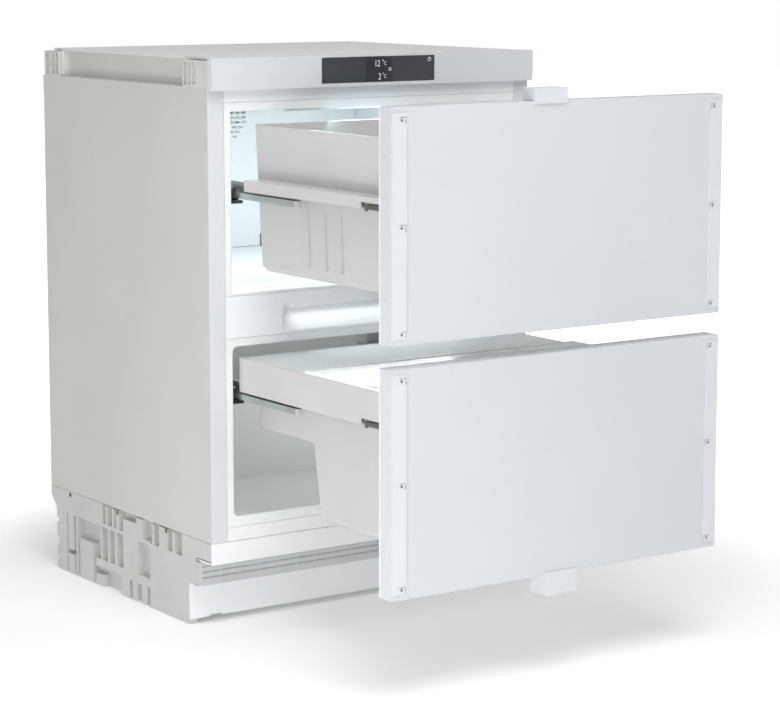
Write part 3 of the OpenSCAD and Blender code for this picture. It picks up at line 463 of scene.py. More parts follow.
CAD_FINISHES: dict[str, tuple[str, ...]] = {
    "side_paint": ("side_panel_left", "side_panel_right", "rear_panel"),
    "front_paint": ("upper_front_panel", "lower_front_panel"),
    "white_paint": ("top_bar", "bottom_bar", "lower_fascia", "plinth_panel"),
    "top_plate": ("top_panel",),
    "white_plastic": ("middle_bar", "upper_front_core", "lower_front_core"),
    "strip_plastic": ("control_panel", "upper_fixing_rails", "lower_fixing_rails",
                      "upper_alignment_block", "lower_alignment_block"),
    "grille_painted_shade_plastic": ("vent_grille",),
    "grey_plastic": ("base_side_left", "base_side_right", "evaporation_tray"),
    "frame_plastic": ("top_frame", "top_corner_blocks"),
    "liner": ("upper_liner", "lower_liner", "back_cover", "circulation_fan"),
    "basket": ("upper_basket", "lower_basket"),
    "steel": ("base_tray", "upper_cabinet_rails", "lower_cabinet_rails", "upper_middle_rails",
              "lower_middle_rails", "upper_drawer_rails", "lower_drawer_rails", "base_screws"),
    "fins": ("condenser", "evaporator"),
    "copper": ("pipework",),
    "black_enamel": ("compressor",),
    "rubber": ("compressor_mounts",),
    "seal": ("upper_gasket", "lower_gasket"),
    "dark_plastic": ("upper_catches", "lower_catches", "foot_front_left", "foot_front_right",
                     "foot_rear_left", "foot_rear_right"),
    "black_plastic": ("condenser_fan_frame", "condenser_fan", "power_inlet"),
    "smoked_glass": ("display_glass",),
    "circuit_board": ("control_board",),
    "foam": ("insulation_foam",),
    "lamp": ("light_strip",),
    "rear_glass": ("rear_glass_cover",),
    "front_glass": ("front_glass_cover",),
}


class Form:
    """A mesh being shaped, in millimetres measured from the cabinet's front plane."""

    def __init__(self) -> None:
        """Starts empty."""
        self.bm = bmesh.new()

    def fresh(self, known: set[bmesh.types.BMVert]) -> list[bmesh.types.BMVert]:
        """Returns the vertices made since known was taken."""
        return [v for v in self.bm.verts if v not in known]

    def soften(self, known: set[bmesh.types.BMVert], edge: float, segments: int = 2,
               least_angle: float = 25.0) -> None:
        """Rounds the sharp edges of what is new.

        Args:
            known: The vertices that were there before.
            edge: Width of the rounding.
            segments: Facets across it.
            least_angle: Edges flatter than this, in degrees, stay.
        """
        if edge <= 0:
            return
        faces = {f for v in self.fresh(known) for f in v.link_faces}
        bmesh.ops.recalc_face_normals(self.bm, faces=list(faces))
        sharp = [e for e in {e for f in faces for e in f.edges}
                 if e.is_manifold and e.calc_face_angle() > math.radians(least_angle)]
        bmesh.ops.bevel(self.bm, geom=sharp, offset=edge, offset_type="OFFSET", segments=segments,
                        profile=0.5, affect="EDGES", material=-1, clamp_overlap=True)

    def block(self, x: Span, y: Span, z: Span, edge: float = 0.0, segments: int = 2) -> None:
        """Adds a block with rounded edges.

        Args:
            x: Its left and right planes.
            y: Its front and rear planes.
            z: Its lower and upper planes.
            edge: Width of the rounding of its edges.
            segments: Facets across it.
        """
        known = set(self.bm.verts)
        middle = Vector([(s[0] + s[1]) / 2 for s in (x, y, z)])
        size = Vector([s[1] - s[0] for s in (x, y, z)])
        bmesh.ops.create_cube(self.bm, size=1.0, matrix=Matrix.LocRotScale(middle, None, size))
        self.soften(known, edge, segments)

    def drum(self, centre: Point, axis: Point, radius: float, length: float, edge: float = 0.0,
             sides: int = 24) -> None:
        """Adds a drum.

        Args:
            centre: Middle of the end it starts from.
            axis: The way it reaches.
            radius: Its radius.
            length: Its length.
            edge: Width of the rounding of its rims.
            sides: Facets round it.
        """
        known = set(self.bm.verts)
        turn = Vector(axis).to_track_quat("Z", "Y").to_matrix().to_4x4()
        bmesh.ops.create_cone(
            self.bm, cap_ends=True, segments=sides, radius1=radius, radius2=radius, depth=length,
            matrix=Matrix.Translation(centre) @ turn @ Matrix.Translation((0, 0, length / 2)))
        self.soften(known, edge, 2, 50.0)

    def ball(self, centre: Point, radius: float) -> None:
        """Adds a small ball."""
        bmesh.ops.create_icosphere(self.bm, subdivisions=2, radius=radius,
                                   matrix=Matrix.Translation(centre))

    def lathe(self, profile: Sequence[Pair], centre: Point, axis: Point = (0.0, 0.0, 1.0),
              sides: int = 48) -> None:
        """Spins a profile about an axis.

        Args:
            profile: Pairs of radius and height.
            centre: The point where the height is zero.
            axis: The way the height grows.
            sides: Facets round it.
        """
        known = set(self.bm.verts)
        line = [self.bm.verts.new((radius, 0.0, height)) for radius, height in profile]
        ribs = [self.bm.edges.new(pair) for pair in zip(line, line[1:])]
        bmesh.ops.spin(self.bm, geom=line + ribs, cent=(0, 0, 0), axis=(0, 0, 1),
                       angle=math.tau, steps=sides, use_merge=True)
        bmesh.ops.remove_doubles(self.bm, verts=self.fresh(known), dist=0.001)
        turn = Vector(axis).to_track_quat("Z", "Y").to_matrix().to_4x4()
        bmesh.ops.transform(self.bm, matrix=Matrix.Translation(centre) @ turn,
                            verts=self.fresh(known))

    def prism(self, outline: Sequence[Pair], x: Span, edge: float = 0.0) -> None:
        """Extrudes an outline sideways.

        Args:
            outline: Corners as pairs of depth and height.
            x: Its left and right planes.
            edge: Width of the rounding of its edges.
        """
        known = set(self.bm.verts)
        face = self.bm.faces.new([self.bm.verts.new((x[0], y, z)) for y, z in outline])
        grown = bmesh.ops.extrude_face_region(self.bm, geom=[face])["geom"]
        bmesh.ops.translate(self.bm, vec=(x[1] - x[0], 0, 0),
                            verts=[g for g in grown if isinstance(g, bmesh.types.BMVert)])
        self.soften(known, edge)

    def panel(self, x: Span, z: Span, y: float, radius: float, steps: Sequence[Pair],
              open_middle: bool = False) -> None:
        """Adds a rounded rectangle facing the back, stepped inwards ring by ring.

        Args:
            x: Its left and right edges.
            z: Its lower and upper edges.
            y: The plane it starts in.
            radius: Radius of its corners.
            steps: Width and rise of each ring.
            open_middle: Whether the middle is left out.
        """
        corners = [self.bm.verts.new((a, y, b)) for a, b in
                   ((x[0], z[0]), (x[0], z[1]), (x[1], z[1]), (x[1], z[0]))]
        self.bm.faces.new(corners)
        bmesh.ops.bevel(self.bm, geom=corners, offset=radius, offset_type="OFFSET", segments=6,
                        profile=0.5, affect="VERTICES", material=-1)
        face = next(iter(self.bm.faces))
        face.normal_update()
        if face.normal.y < 0:
            face.normal_flip()
        for width, rise in steps:
            bmesh.ops.inset_region(self.bm, faces=[face], thickness=width, depth=rise,
                                   use_even_offset=True, use_boundary=True)
        if open_middle:
            bmesh.ops.delete(self.bm, geom=[face], context="FACES_ONLY")

    def both_sides(self) -> None:
        """Adds a copy of everything on the other side of the middle plane."""
        geom = list(self.bm.verts) + list(self.bm.edges) + list(self.bm.faces)
        made = bmesh.ops.duplicate(self.bm, geom=geom)["geom"]
        bmesh.ops.scale(self.bm, vec=(-1, 1, 1),
                        verts=[g for g in made if isinstance(g, bmesh.types.BMVert)])

    def mesh(self, name: str, crease: float) -> bpy.types.Mesh:
        """Puts the form in its place in metres and makes a mesh of it.

        Args:
            name: Name of the mesh.
            crease: Angle in degrees above which an edge stays sharp.

        Returns:
            The mesh, with its faces pointing outwards.
        """
        bmesh.ops.recalc_face_normals(self.bm, faces=self.bm.faces)
        bmesh.ops.transform(self.bm, verts=self.bm.verts, matrix=Matrix.Scale(MM, 4)
                            @ Matrix.Translation((0, FRONT_PLANE_Y, 0)))
        mesh = bpy.data.meshes.new(name)
        self.bm.to_mesh(mesh)
        self.bm.free()
        mesh.shade_smooth()
        mesh.set_sharp_from_angle(angle=math.radians(crease))
        return mesh


class Bench:
    """Turns forms into pieces that ride on the refrigerator's bodies."""

    BEND_STEPS = 8
    DIGIT_HEIGHT = 0.7
    DIGIT_WIDTH = 0.82
    DIGIT_THINNING = 0.009
    DIGIT_SPACING = 0.92

    def __init__(self, finishes: Finishes) -> None:
        """Keeps the finishes."""
        self.finishes = finishes

    def seat(self, thing: bpy.types.Object, finish: str, body: Body,
             stands_for: Sequence[str] = ()) -> None:
        """Links an object, dresses it and lets it ride.

        Args:
            thing: The object.
            finish: Name of its finish.
            body: The body it moves with.
            stands_for: Solids that it replaces.
        """
        bpy.context.scene.collection.objects.link(thing)
        thing.data.materials.append(self.finishes.get(finish))
        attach(thing, body.value)
        if stands_for:
            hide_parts(*stands_for)
        LOG.info("%s rides on %s", thing.name, body.value)

    def fit(self, form: Form, name: str, finish: str, body: Body,
            stands_for: Sequence[str] = (), crease: float = 38.0) -> None:
        """Makes a piece of a form.

        Args:
            form: The finished form.
            name: Name of the piece.
            finish: Name of its finish.
            body: The body it moves with.
            stands_for: Solids that it replaces.
            crease: Angle in degrees above which an edge stays sharp.
        """
        self.seat(bpy.data.objects.new(name, form.mesh(name, crease)), finish, body, stands_for)

    def pipe(self, route: Sequence[Point], radius: float, bend: float, name: str, finish: str,
             body: Body, stands_for: Sequence[str] = ()) -> None:
        """Bends a tube round the corners of a route.

        Args:
            route: Corners in millimetres from the front plane.
            radius: Radius of the tube.
            bend: Radius of its bends.
            name: Name of the piece.
            finish: Name of its finish.
            body: The body it moves with.
            stands_for: Solids that it replaces.
        """
        corners = [Vector(p) for p in route]
        path = [corners[0]]
        for before, corner, after in zip(corners, corners[1:], corners[2:]):
            into = (before - corner).normalized()
            out = (after - corner).normalized()
            reach = min(bend, (before - corner).length * 0.49, (after - corner).length * 0.49)
            for step in range(self.BEND_STEPS + 1):
                share = step / self.BEND_STEPS
                path.append(corner + into * reach * (1 - share) ** 2 + out * reach * share ** 2)
        path.append(corners[-1])
        curve = bpy.data.curves.new(name, "CURVE")
        curve.dimensions = "3D"
        curve.bevel_depth = radius * MM
        curve.bevel_resolution = 4
        curve.use_fill_caps = True
        line = curve.splines.new("POLY")
        line.points.add(len(path) - 1)
        for point, place in zip(line.points, path):
            point.co = (*((place + Vector((0, FRONT_PLANE_Y, 0))) * MM), 1.0)
        self.seat(bpy.data.objects.new(name, curve), finish, body, stands_for)

    def lettering(self, words: str, height: float, at: Point, name: str, finish: str,
                  body: Body) -> None:
        """Sets plain digits on a surface that faces the front.

        Args:
            words: The digits.
            height: Their height in millimetres.
            at: Lower left corner in millimetres from the front plane.
            name: Name of the piece.
            finish: Name of its finish.
            body: The body it moves with.
        """
        text = bpy.data.curves.new(name + "_text", "FONT")
        text.body = words
        text.size = height * MM / self.DIGIT_HEIGHT
        text.space_character = self.DIGIT_SPACING
        text.offset = -self.DIGIT_THINNING * text.size
        holder = bpy.data.objects.new(name + "_text", text)
        mesh = bpy.data.meshes.new_from_object(holder)
        mesh.name = name
        bpy.data.objects.remove(holder)
        bpy.data.curves.remove(text)
        mesh.materials.clear()
        mesh.transform(Matrix.Translation(Vector((at[0], at[1] + FRONT_PLANE_Y, at[2])) * MM)
                       @ Matrix.Rotation(math.radians(90), 4, "X")
                       @ Matrix.Diagonal((self.DIGIT_WIDTH, 1.0, 1.0, 1.0)))
        self.seat(bpy.data.objects.new(name, mesh), finish, body)


class Assembly(Protocol):
    """Anything that makes its own pieces on the bench."""

    def build(self, bench: Bench) -> None:
        """Makes and fits the pieces."""


@dataclass
class DrawerFront:
    """Seal of one drawer front, and slightly darker plates on its side faces as painted shade for
    its recessed slots.
    """

    level: Level
    body: Body
    seal_z: Span
    mark_z: tuple[float, ...]
    back_y: float = -443.0
    seal_x: float = 269.2
    seal_steps: tuple[Pair, ...] = (
        (0.3, 0.6), (0.2, 2.0), (1.1, 0.5), (0.7, -0.3), (0.2, 2.4), (0.5, 1.6), (0.9, 1.3),
        (1.2, 0.9), (1.3, 0.4), (1.2, -0.6), (0.7, -1.4), (0.2, -3.0), (0.2, -4.2))

    def seal(self) -> Form:
        """Makes the bellows seal, swept ring by ring.

        Returns:
            The form, ready to fit.
        """
        form = Form()
        form.panel((-self.seal_x, self.seal_x), self.seal_z, self.back_y, 6.0, self.seal_steps,
                   open_middle=True)
        return form

    def marks(self) -> Form:
        """Makes slightly darker plates on the side faces of the front, painted shade where the
        front has recessed slots.

        Returns:
            The form, ready to fit.
        """
        form = Form()
        for z in self.mark_z:
            form.block((-294.0, -292.5), (-457.2, -454.0), (z - 3.6, z + 3.6), 1.2, 3)
        form.both_sides()
        return form

    def build(self, bench: Bench) -> None:
        """Makes and fits the pieces.

        Args:
            bench: Where forms become pieces.
        """
        level = self.level.value
        bench.fit(self.seal(), f"{level}_bellows_seal", "seal", self.body, (f"{level}_gasket",),
                  60.0)
        # Darker plates on the side faces: painted shade for recessed slots.
        bench.fit(self.marks(), f"{level}_front_plugs", "grey_plastic", self.body)


@dataclass
class ReleaseCatches:
    """Pair of finger levers that let a drawer off its runners."""

    level: Level
    body: Body
    rail_z: float
    x: Span = (-250.4, -246.6)
    pivot_y: float = -424.0
    tip_y: float = -343.0
    grip_ribs: int = 6
    rib_pitch: float = 3.2

    def levers(self) -> Form:
        """Makes both levers with grip ribs and pin heads.

        Returns:
            The form, ready to fit.
        """
        z = self.rail_z
        tip = self.tip_y
        form = Form()
        form.prism([(self.pivot_y - 5, z + 20.6), (tip - 6, z + 20.6), (tip - 5, z + 17.9),
                    (tip - 1, z + 17.9), (tip, z + 21.5), (tip, z + 27.4),
                    (self.pivot_y - 5, z + 28.8)], self.x, 0.5)
        for rib in range(self.grip_ribs):
            y = tip - 4 - rib * self.rib_pitch
            form.block((self.x[0] - 0.5, self.x[0] + 0.5), (y - 0.8, y + 0.8), (z + 21.4, z + 26.6),
                       0.35)
        form.drum((self.x[0] - 0.4, self.pivot_y, z + 25), (1, 0, 0), 2.0, 1.2, 0.3)
        form.both_sides()
        return form

    def build(self, bench: Bench) -> None:
        """Makes and fits the levers."""
        bench.fit(self.levers(), f"{self.level.value}_release_levers", "dark_plastic", self.body,
                  (f"{self.level.value}_catches",))


@dataclass
class Runners:
    """Ball cages, guides, end stops and screws of one drawer's runners, left and right."""

    level: Level
    rail_z: float
    moving: Body
    wall_x: float = -258.7
    middle_front_y: float = -163.0
    bolt_y: tuple[float, ...] = (60.0, 200.0, 340.0)
    cage_y: tuple[float, ...] = (-158.0, 120.0)
    cage_length: float = 72.0
    balls: int = 9
    ball_pitch: float = 7.7
    ball_radius: float = 1.3

    def guides(self) -> Form:
        """Makes the black guides in the mouths of the cabinet members.

        Returns:
            The form, ready to fit.
        """
        z = self.rail_z
        form = Form()
        x = self.wall_x
        form.block((x + 1.3, x + 2.5), (1.2, 16.0), (z + 2, z + 20), 0.5)
        form.block((x + 1.3, x + 20), (1.2, 14.0), (z + 1.3, z + 2.8), 0.5)
        form.block((x + 3, x + 8), (1.2, 10.0), (z + 12, z + 23), 0.6)
        form.block((x + 19.0, x + 20.2), (1.2, 14.0), (z + 2, z + 4.8), 0.4)
        form.both_sides()
        return form

    def bolts(self) -> Form:
        """Makes the pan-head screws in the cabinet members.

        Returns:
            The form, ready to fit.
        """
        form = Form()
        head = [(0, 0.9), (0.9, 0.9), (1.2, 1.7), (2.6, 1.6), (3.5, 1.0), (3.7, 0.2), (3.7, 0.0)]
        for y in self.bolt_y:
            form.lathe(head, (self.wall_x + 1.25, y, self.rail_z + 18), (1, 0, 0), 20)
        form.both_sides()
        return form

    def stops(self) -> Form:
        """Makes the plastic end stops in the noses of the middle members.

        Returns:
            The form, ready to fit.
        """
        z = self.rail_z
        y = self.middle_front_y
        form = Form()
        form.block((-249.2, -241.3), (y - 1.6, y + 9), (z + 9.8, z + 16.2), 0.9, 3)
        form.block((-251.2, -239.5), (y - 2.2, y - 0.2), (z + 8.0, z + 17.4), 0.7, 3)
        form.both_sides()
        return form

    def cages(self) -> Form:
        """Makes the strips of balls that the drawer members roll on.

        Returns:
            The form, ready to fit.
        """
        z = self.rail_z
        form = Form()
        for start in self.cage_y:
            form.block((-243.9, -241.6), (start, start + self.cage_length), (z + 29.2, z + 30.0),
                       0.2)
            for ball in range(self.balls):
                form.ball((-242.8, start + 5 + ball * self.ball_pitch, z + 29.6), self.ball_radius)
        form.both_sides()
        return form

    def build(self, bench: Bench) -> None:
        """Makes and fits the pieces.

        Args:
            bench: Where forms become pieces.
        """
        level = self.level.value
        bench.fit(self.guides(), f"{level}_runner_guides", "black_plastic", Body.CABINET)
        bench.fit(self.bolts(), f"{level}_runner_screws", "steel", Body.CABINET)
        bench.fit(self.stops(), f"{level}_runner_stops", "grey_plastic", self.moving)
        bench.fit(self.cages(), f"{level}_ball_cages", "steel", self.moving)


@dataclass
class Baskets:
    """Soft bumpers on the back of the upper basket."""

    rear_y: float = -9.5

    def bumpers(self) -> Form:
        """Makes both bumpers.

        Returns:
            The form, ready to fit.
        """
        form = Form()
        form.block((-213.5, -204.0), (self.rear_y - 0.6, self.rear_y + 3.6), (591.0, 611.0), 1.4, 3)
        form.both_sides()
        return form

    def build(self, bench: Bench) -> None:
        """Makes and fits the bumpers."""
        bench.fit(self.bumpers(), "upper_basket_bumpers", "dark_plastic", Body.UPPER_DRAWER)


@dataclass
class Controls:
    """Lit zone and generic temperature digits on the display."""

    face_y: float = -13.0
    zone_x: Span = (-24.0, 25.0)
    zone_z: Span = (832.6, 870.9)
    digit_h: float = 9.6
    unit_h: float = 5.6
    unit_x: float = 9.2
    degree_x: float = 7.6
    degree_z: Pair = (865.0, 845.0)
    switch_at: Pair = (95.0, 865.0)
    dots_at: Pair = (18.6, 849.6)
    dot_pitch: float = 1.9
    relief: float = 0.12

    def marks(self) -> Form:
        """Makes the degree rings, the ring of the switch mark and the square of dots.

        Returns:
            The form, ready to fit.
        """
        form = Form()
        front = self.face_y - self.relief
        ring = [(0.7, 0.0), (0.7, self.relief), (1.1, self.relief), (1.1, 0.0)]
        for z in self.degree_z:
            form.lathe(ring, (self.degree_x, front, z), (0, -1, 0), 20)
        x, z = self.switch_at
        form.lathe([(2.4, 0.0), (2.4, self.relief), (3.0, self.relief), (3.0, 0.0)],
                   (x, self.face_y, z), (0, -1, 0), 28)
        form.block((x - 0.3, x + 0.3), (front, self.face_y), (z + 0.6, z + 3.6))
        x, z = self.dots_at
        for column in range(3):
            for row in range(3):
                form.drum((x + column * self.dot_pitch, front, z + row * self.dot_pitch),
                          (0, -1, 0), 0.6, 0.1, 0.0, 10)
        return form

    def zone(self) -> Form:
        """Makes the darker zone in the middle of the display.

        Returns:
            The form, ready to fit.
        """
        form = Form()
        form.block(self.zone_x, (self.face_y - 0.1, self.face_y + 0.3), self.zone_z, 0.04, 1)
        return form

    def build(self, bench: Bench) -> None:
        """Makes and fits the pieces.

        Args:
            bench: Where forms become pieces.
        """
        lit_y = self.face_y - 0.16
        bench.fit(self.zone(), "display_zone", "display_zone", Body.CABINET)
        bench.fit(self.marks(), "display_marks", "display_lit", Body.CABINET)
        for name, words, height, x, z in (
                ("upper_digits", "12", self.digit_h, -8.6, 856.0),
                ("upper_unit", "C", self.unit_h, self.unit_x, 858.0),
                ("lower_digits", "2", self.digit_h, -1.6, 836.0),
                ("lower_unit", "C", self.unit_h, self.unit_x, 838.0)):
            bench.lettering(words, height, (x, lit_y, z), name, "display_lit", Body.CABINET)


@dataclass
class Shell:
    """Rear sheet with its screws, the pipes' grommets and the clips on the top plate."""

    half_x: float = 296.5
    rear_z: Span = (253.5, 830.5)
    sheet: float = 1.2
    fold_x: float = 278.7
    fold_y: float = 506.5
    bay_x: float = 284.2
    bay_y: Span = (310.3, 531.5)
    bay_z: Span = (140.8, 254.7)
    pipe_holes: tuple[tuple[float, float, float], ...] = ((120.0, 505.0, 5.0), (150.0, 480.0, 3.0))
    rear_y: float = 534.0
    columns: int = 3
    rows: int = 2
    field_steps: tuple[Pair, ...] = ((20.0, 0.0), (3.0, -0.7), (3.0, -0.3))
    screw_x: tuple[float, ...] = (-220.0, 0.0, 220.0)

    def rear_panel(self) -> Form:
        """Makes the rear sheet with pressed fields, its top fold and the machine bay's lining.

        Returns:
            The form, ready to fit.
        """
        form = Form()
        low, high = self.rear_z
        bmesh.ops.create_grid(
            form.bm, x_segments=self.columns, y_segments=self.rows, size=1.0,
            matrix=Matrix.Translation((0, self.rear_y, (low + high) / 2))
            @ Matrix.Rotation(math.radians(-90), 4, "X")
            @ Matrix.Diagonal((self.half_x, (high - low) / 2, 1, 1)))
        fields = list(form.bm.faces)
        rim = [e for e in form.bm.edges if e.is_boundary]
        wall = bmesh.ops.extrude_edge_only(form.bm, edges=rim)["geom"]
        bmesh.ops.translate(form.bm, vec=(0, -1.0, 0),
                            verts=[g for g in wall if isinstance(g, bmesh.types.BMVert)])
        bmesh.ops.recalc_face_normals(form.bm, faces=form.bm.faces)
        if fields[0].normal.y < 0:
            bmesh.ops.reverse_faces(form.bm, faces=form.bm.faces)
        for width, rise in self.field_steps:
            bmesh.ops.inset_individual(form.bm, faces=fields, thickness=width, depth=rise)
        bay_z = (self.bay_z[0], self.bay_z[1] - self.sheet)
        form.block((-self.fold_x, self.fold_x), (self.fold_y, self.rear_y - 1),
                   (high - self.sheet, high))
        form.block((-self.bay_x, self.bay_x), self.bay_y, (bay_z[1], self.bay_z[1]))
        form.block((-self.bay_x, self.bay_x), (self.bay_y[0], self.bay_y[0] + self.sheet), bay_z)
        for side in (-1, 1):
            wall_x = sorted((side * self.bay_x, side * (self.bay_x - self.sheet)))
            form.block((wall_x[0], wall_x[1]), self.bay_y, bay_z)
        return form

    def pipe_grommets(self) -> Form:
        """Makes the rubber rings where pipes go up through the machine bay's ceiling.

        Returns:
            The form, ready to fit.
        """
        form = Form()
        for x, y, hole in self.pipe_holes:
            ring = [(hole - 1, -2.2), (hole + 2, -2.2), (hole + 2.4, -1.4), (hole + 2.4, -0.6),
                    (hole, 0.0), (hole - 1, 0.0), (hole - 1, -2.2)]
            form.lathe(ring, (x, y, self.bay_z[1] - self.sheet), sides=24)
        return form

    def rear_screws(self) -> Form:
        """Makes the flush screws of the rear panel.

        Returns:
            The form, ready to fit.
        """
        form = Form()
        head = [(0, -0.8), (1.1, -0.8), (1.4, -0.1), (3.0, 0.0), (3.7, -0.3), (3.8, -0.9),
                (0, -1.0)]
        for x in self.screw_x:
            for z in (self.rear_z[0] + 11, self.rear_z[1] - 12):
                form.lathe(head, (x, self.rear_y, z), (0, 1, 0), 20)
        return form

    def clips(self) -> Form:
        """Makes the clips along the front of the top plate.

        Returns:
            The form, ready to fit.
        """
        form = Form()
        form.block((-13, 14), (1.2, 7.2), (873.6, 875.0), 0.3)
        for x in (-150, 150):
            form.block((x - 20, x + 20), (5.4, 7.6), (873.2, 874.9), 0.3)
        return form

    def build(self, bench: Bench) -> None:
        """Makes and fits the pieces.

        Args:
            bench: Where forms become pieces.
        """
        bench.fit(self.rear_panel(), "pressed_rear_panel", "side_paint", Body.CABINET,
                  ("rear_panel",), 20.0)
        bench.fit(self.pipe_grommets(), "pipe_grommets", "rubber", Body.CABINET)
        bench.fit(self.rear_screws(), "rear_panel_screws", "steel", Body.CABINET)
        bench.fit(self.clips(), "top_plate_clips", "white_plastic", Body.CABINET)


@dataclass
class Base:
    """Winding feet and the screws along the top of the base."""

    foot_x: float = 252.0
    foot_y: Pair = (104.0, 478.0)
    screw_y: tuple[float, ...] = (141.5, 300.0, 464.5)
    screw_z: float = 134.5
    side_x: float = 298.5
    grip_ribs: int = 18
    grip_radius: float = 16.3
    thread_turns: int = 22
    thread_pitch: float = 3.0

    def foot(self, x: float, y: float) -> Form:
        """Makes one foot: a ribbed pad, a hexagon and a threaded stem.

        Args:
            x: Its place across the base.
            y: Its place behind the front plane.

        Returns:
            The foot.
        """
        form = Form()
        form.lathe([(0, 0.0), (13.5, 0.0), (15.0, 0.8), (15.4, 2.2), (16.8, 3.0), (16.8, 6.4),
                    (16.2, 7.0), (8.0, 7.0), (0, 7.0)], (x, y, 0))
        for rib in range(self.grip_ribs):
            turn = math.tau * rib / self.grip_ribs
            across = x + self.grip_radius * math.cos(turn)
            behind = y + self.grip_radius * math.sin(turn)
            form.drum((across, behind, 3.2), (0, 0, 1), 0.7, 3.2, 0.0, 8)
        form.drum((x, y, 7.0), (0, 0, 1), 7.2, 2.5, 0.5, 6)
        thread = [(0, 7.0), (4.2, 9.6)]
        for turn in range(self.thread_turns):
            crest = 11.0 + turn * self.thread_pitch
            thread += [(4.9, crest), (4.3, crest + self.thread_pitch / 2)]
        form.lathe(thread + [(3.6, 78.6), (0, 79.0)], (x, y, 0), sides=24)
        return form

    def screws(self) -> Form:
        """Makes the six pan-head screws.

        Returns:
            The form, ready to fit.
        """
        form = Form()
        head = [(0, -1.3), (1.4, -1.3), (1.7, -0.1), (2.8, -0.2), (3.5, -0.8), (3.7, -1.8),
                (3.7, -2.2), (1.9, -2.3), (1.9, -8.0), (0, -8.2)]
        for y in self.screw_y:
            form.lathe(head, (-self.side_x, y, self.screw_z), (-1, 0, 0), 24)
        form.both_sides()
        return form

    def build(self, bench: Bench) -> None:
        """Makes and fits the pieces.

        Args:
            bench: Where forms become pieces.
        """
        bench.fit(self.screws(), "base_screw_heads", "dark_plastic", Body.CABINET, ("base_screws",))
        for across, x in (("left", -self.foot_x), ("right", self.foot_x)):
            for end, y in zip(("front", "rear"), self.foot_y):
                bench.fit(self.foot(x, y), f"{end}_{across}_winding_foot", "dark_plastic",
                          Body(f"{end}_{across}_foot"), (f"foot_{end}_{across}",))


@dataclass
class Fan:
    """Axial fan with curved blades about an axis along y."""

    name: str
    node: str
    body: Body
    centre: Point
    hub: float
    tip: float
    depth: float
    finish: str
    blades: int = 7
    pitch: float = 42.0
    twist: float = -20.0
    sweep: float = 12.0
    root: float = 2.0
    sheet: float = 1.0

    def rotor(self) -> Form:
        """Makes the hub and the blades.

        Returns:
            The form, ready to fit.
        """
        form = Form()
        half = self.depth / 2
        known = set(form.bm.verts)
        reach = self.tip - self.hub + self.root
        bmesh.ops.create_grid(
            form.bm, x_segments=6, y_segments=4, size=0.5,
            matrix=Matrix.Translation((self.hub - self.root + reach / 2, 0, 0))
            @ Matrix.Diagonal((reach, self.depth * 1.15, 1, 1)))
        for v in form.fresh(known):
            share = (v.co.x - self.hub + self.root) / reach
            sweep = Matrix.Rotation(math.radians(self.sweep * share * share), 4, "Z")
            tilt = Matrix.Rotation(math.radians(self.pitch + self.twist * share), 4, "X")
            arch = Vector((0, 0, 0.9 - 3.6 * (v.co.y / self.depth) ** 2))
            v.co = sweep @ (tilt @ (v.co + arch))
            v.co.z = max(-half, min(half, v.co.z))
        skin = list({f for v in form.fresh(known) for f in v.link_faces})
        bmesh.ops.solidify(form.bm, geom=skin, thickness=self.sheet)
        geom = list(form.bm.verts) + list(form.bm.edges) + list(form.bm.faces)
        bmesh.ops.spin(form.bm, geom=geom, cent=(0, 0, 0), axis=(0, 0, 1),
                       angle=math.tau * (self.blades - 1) / self.blades,
                       steps=self.blades - 1, use_duplicate=True)
        form.lathe([(0, half - 2.6), (self.hub * 0.4, half - 2.6), (self.hub * 0.5, half - 0.6),
                    (self.hub * 0.82, half - 0.4), (self.hub * 0.97, half - 1.4),
                    (self.hub, half - 3),
                    (self.hub, -half), (self.hub - 1.5, -half), (self.hub - 1.5, half - 4),
                    (0, half - 4)], (0, 0, 0))
        bmesh.ops.transform(form.bm, verts=form.bm.verts,
                            matrix=Matrix.Translation(self.centre)
                            @ Matrix.Rotation(math.radians(90), 4, "X"))
        return form

    def build(self, bench: Bench) -> None:
        """Makes and fits the rotor."""
        bench.fit(self.rotor(), self.name, self.finish, self.body, (self.node,), 30.0)


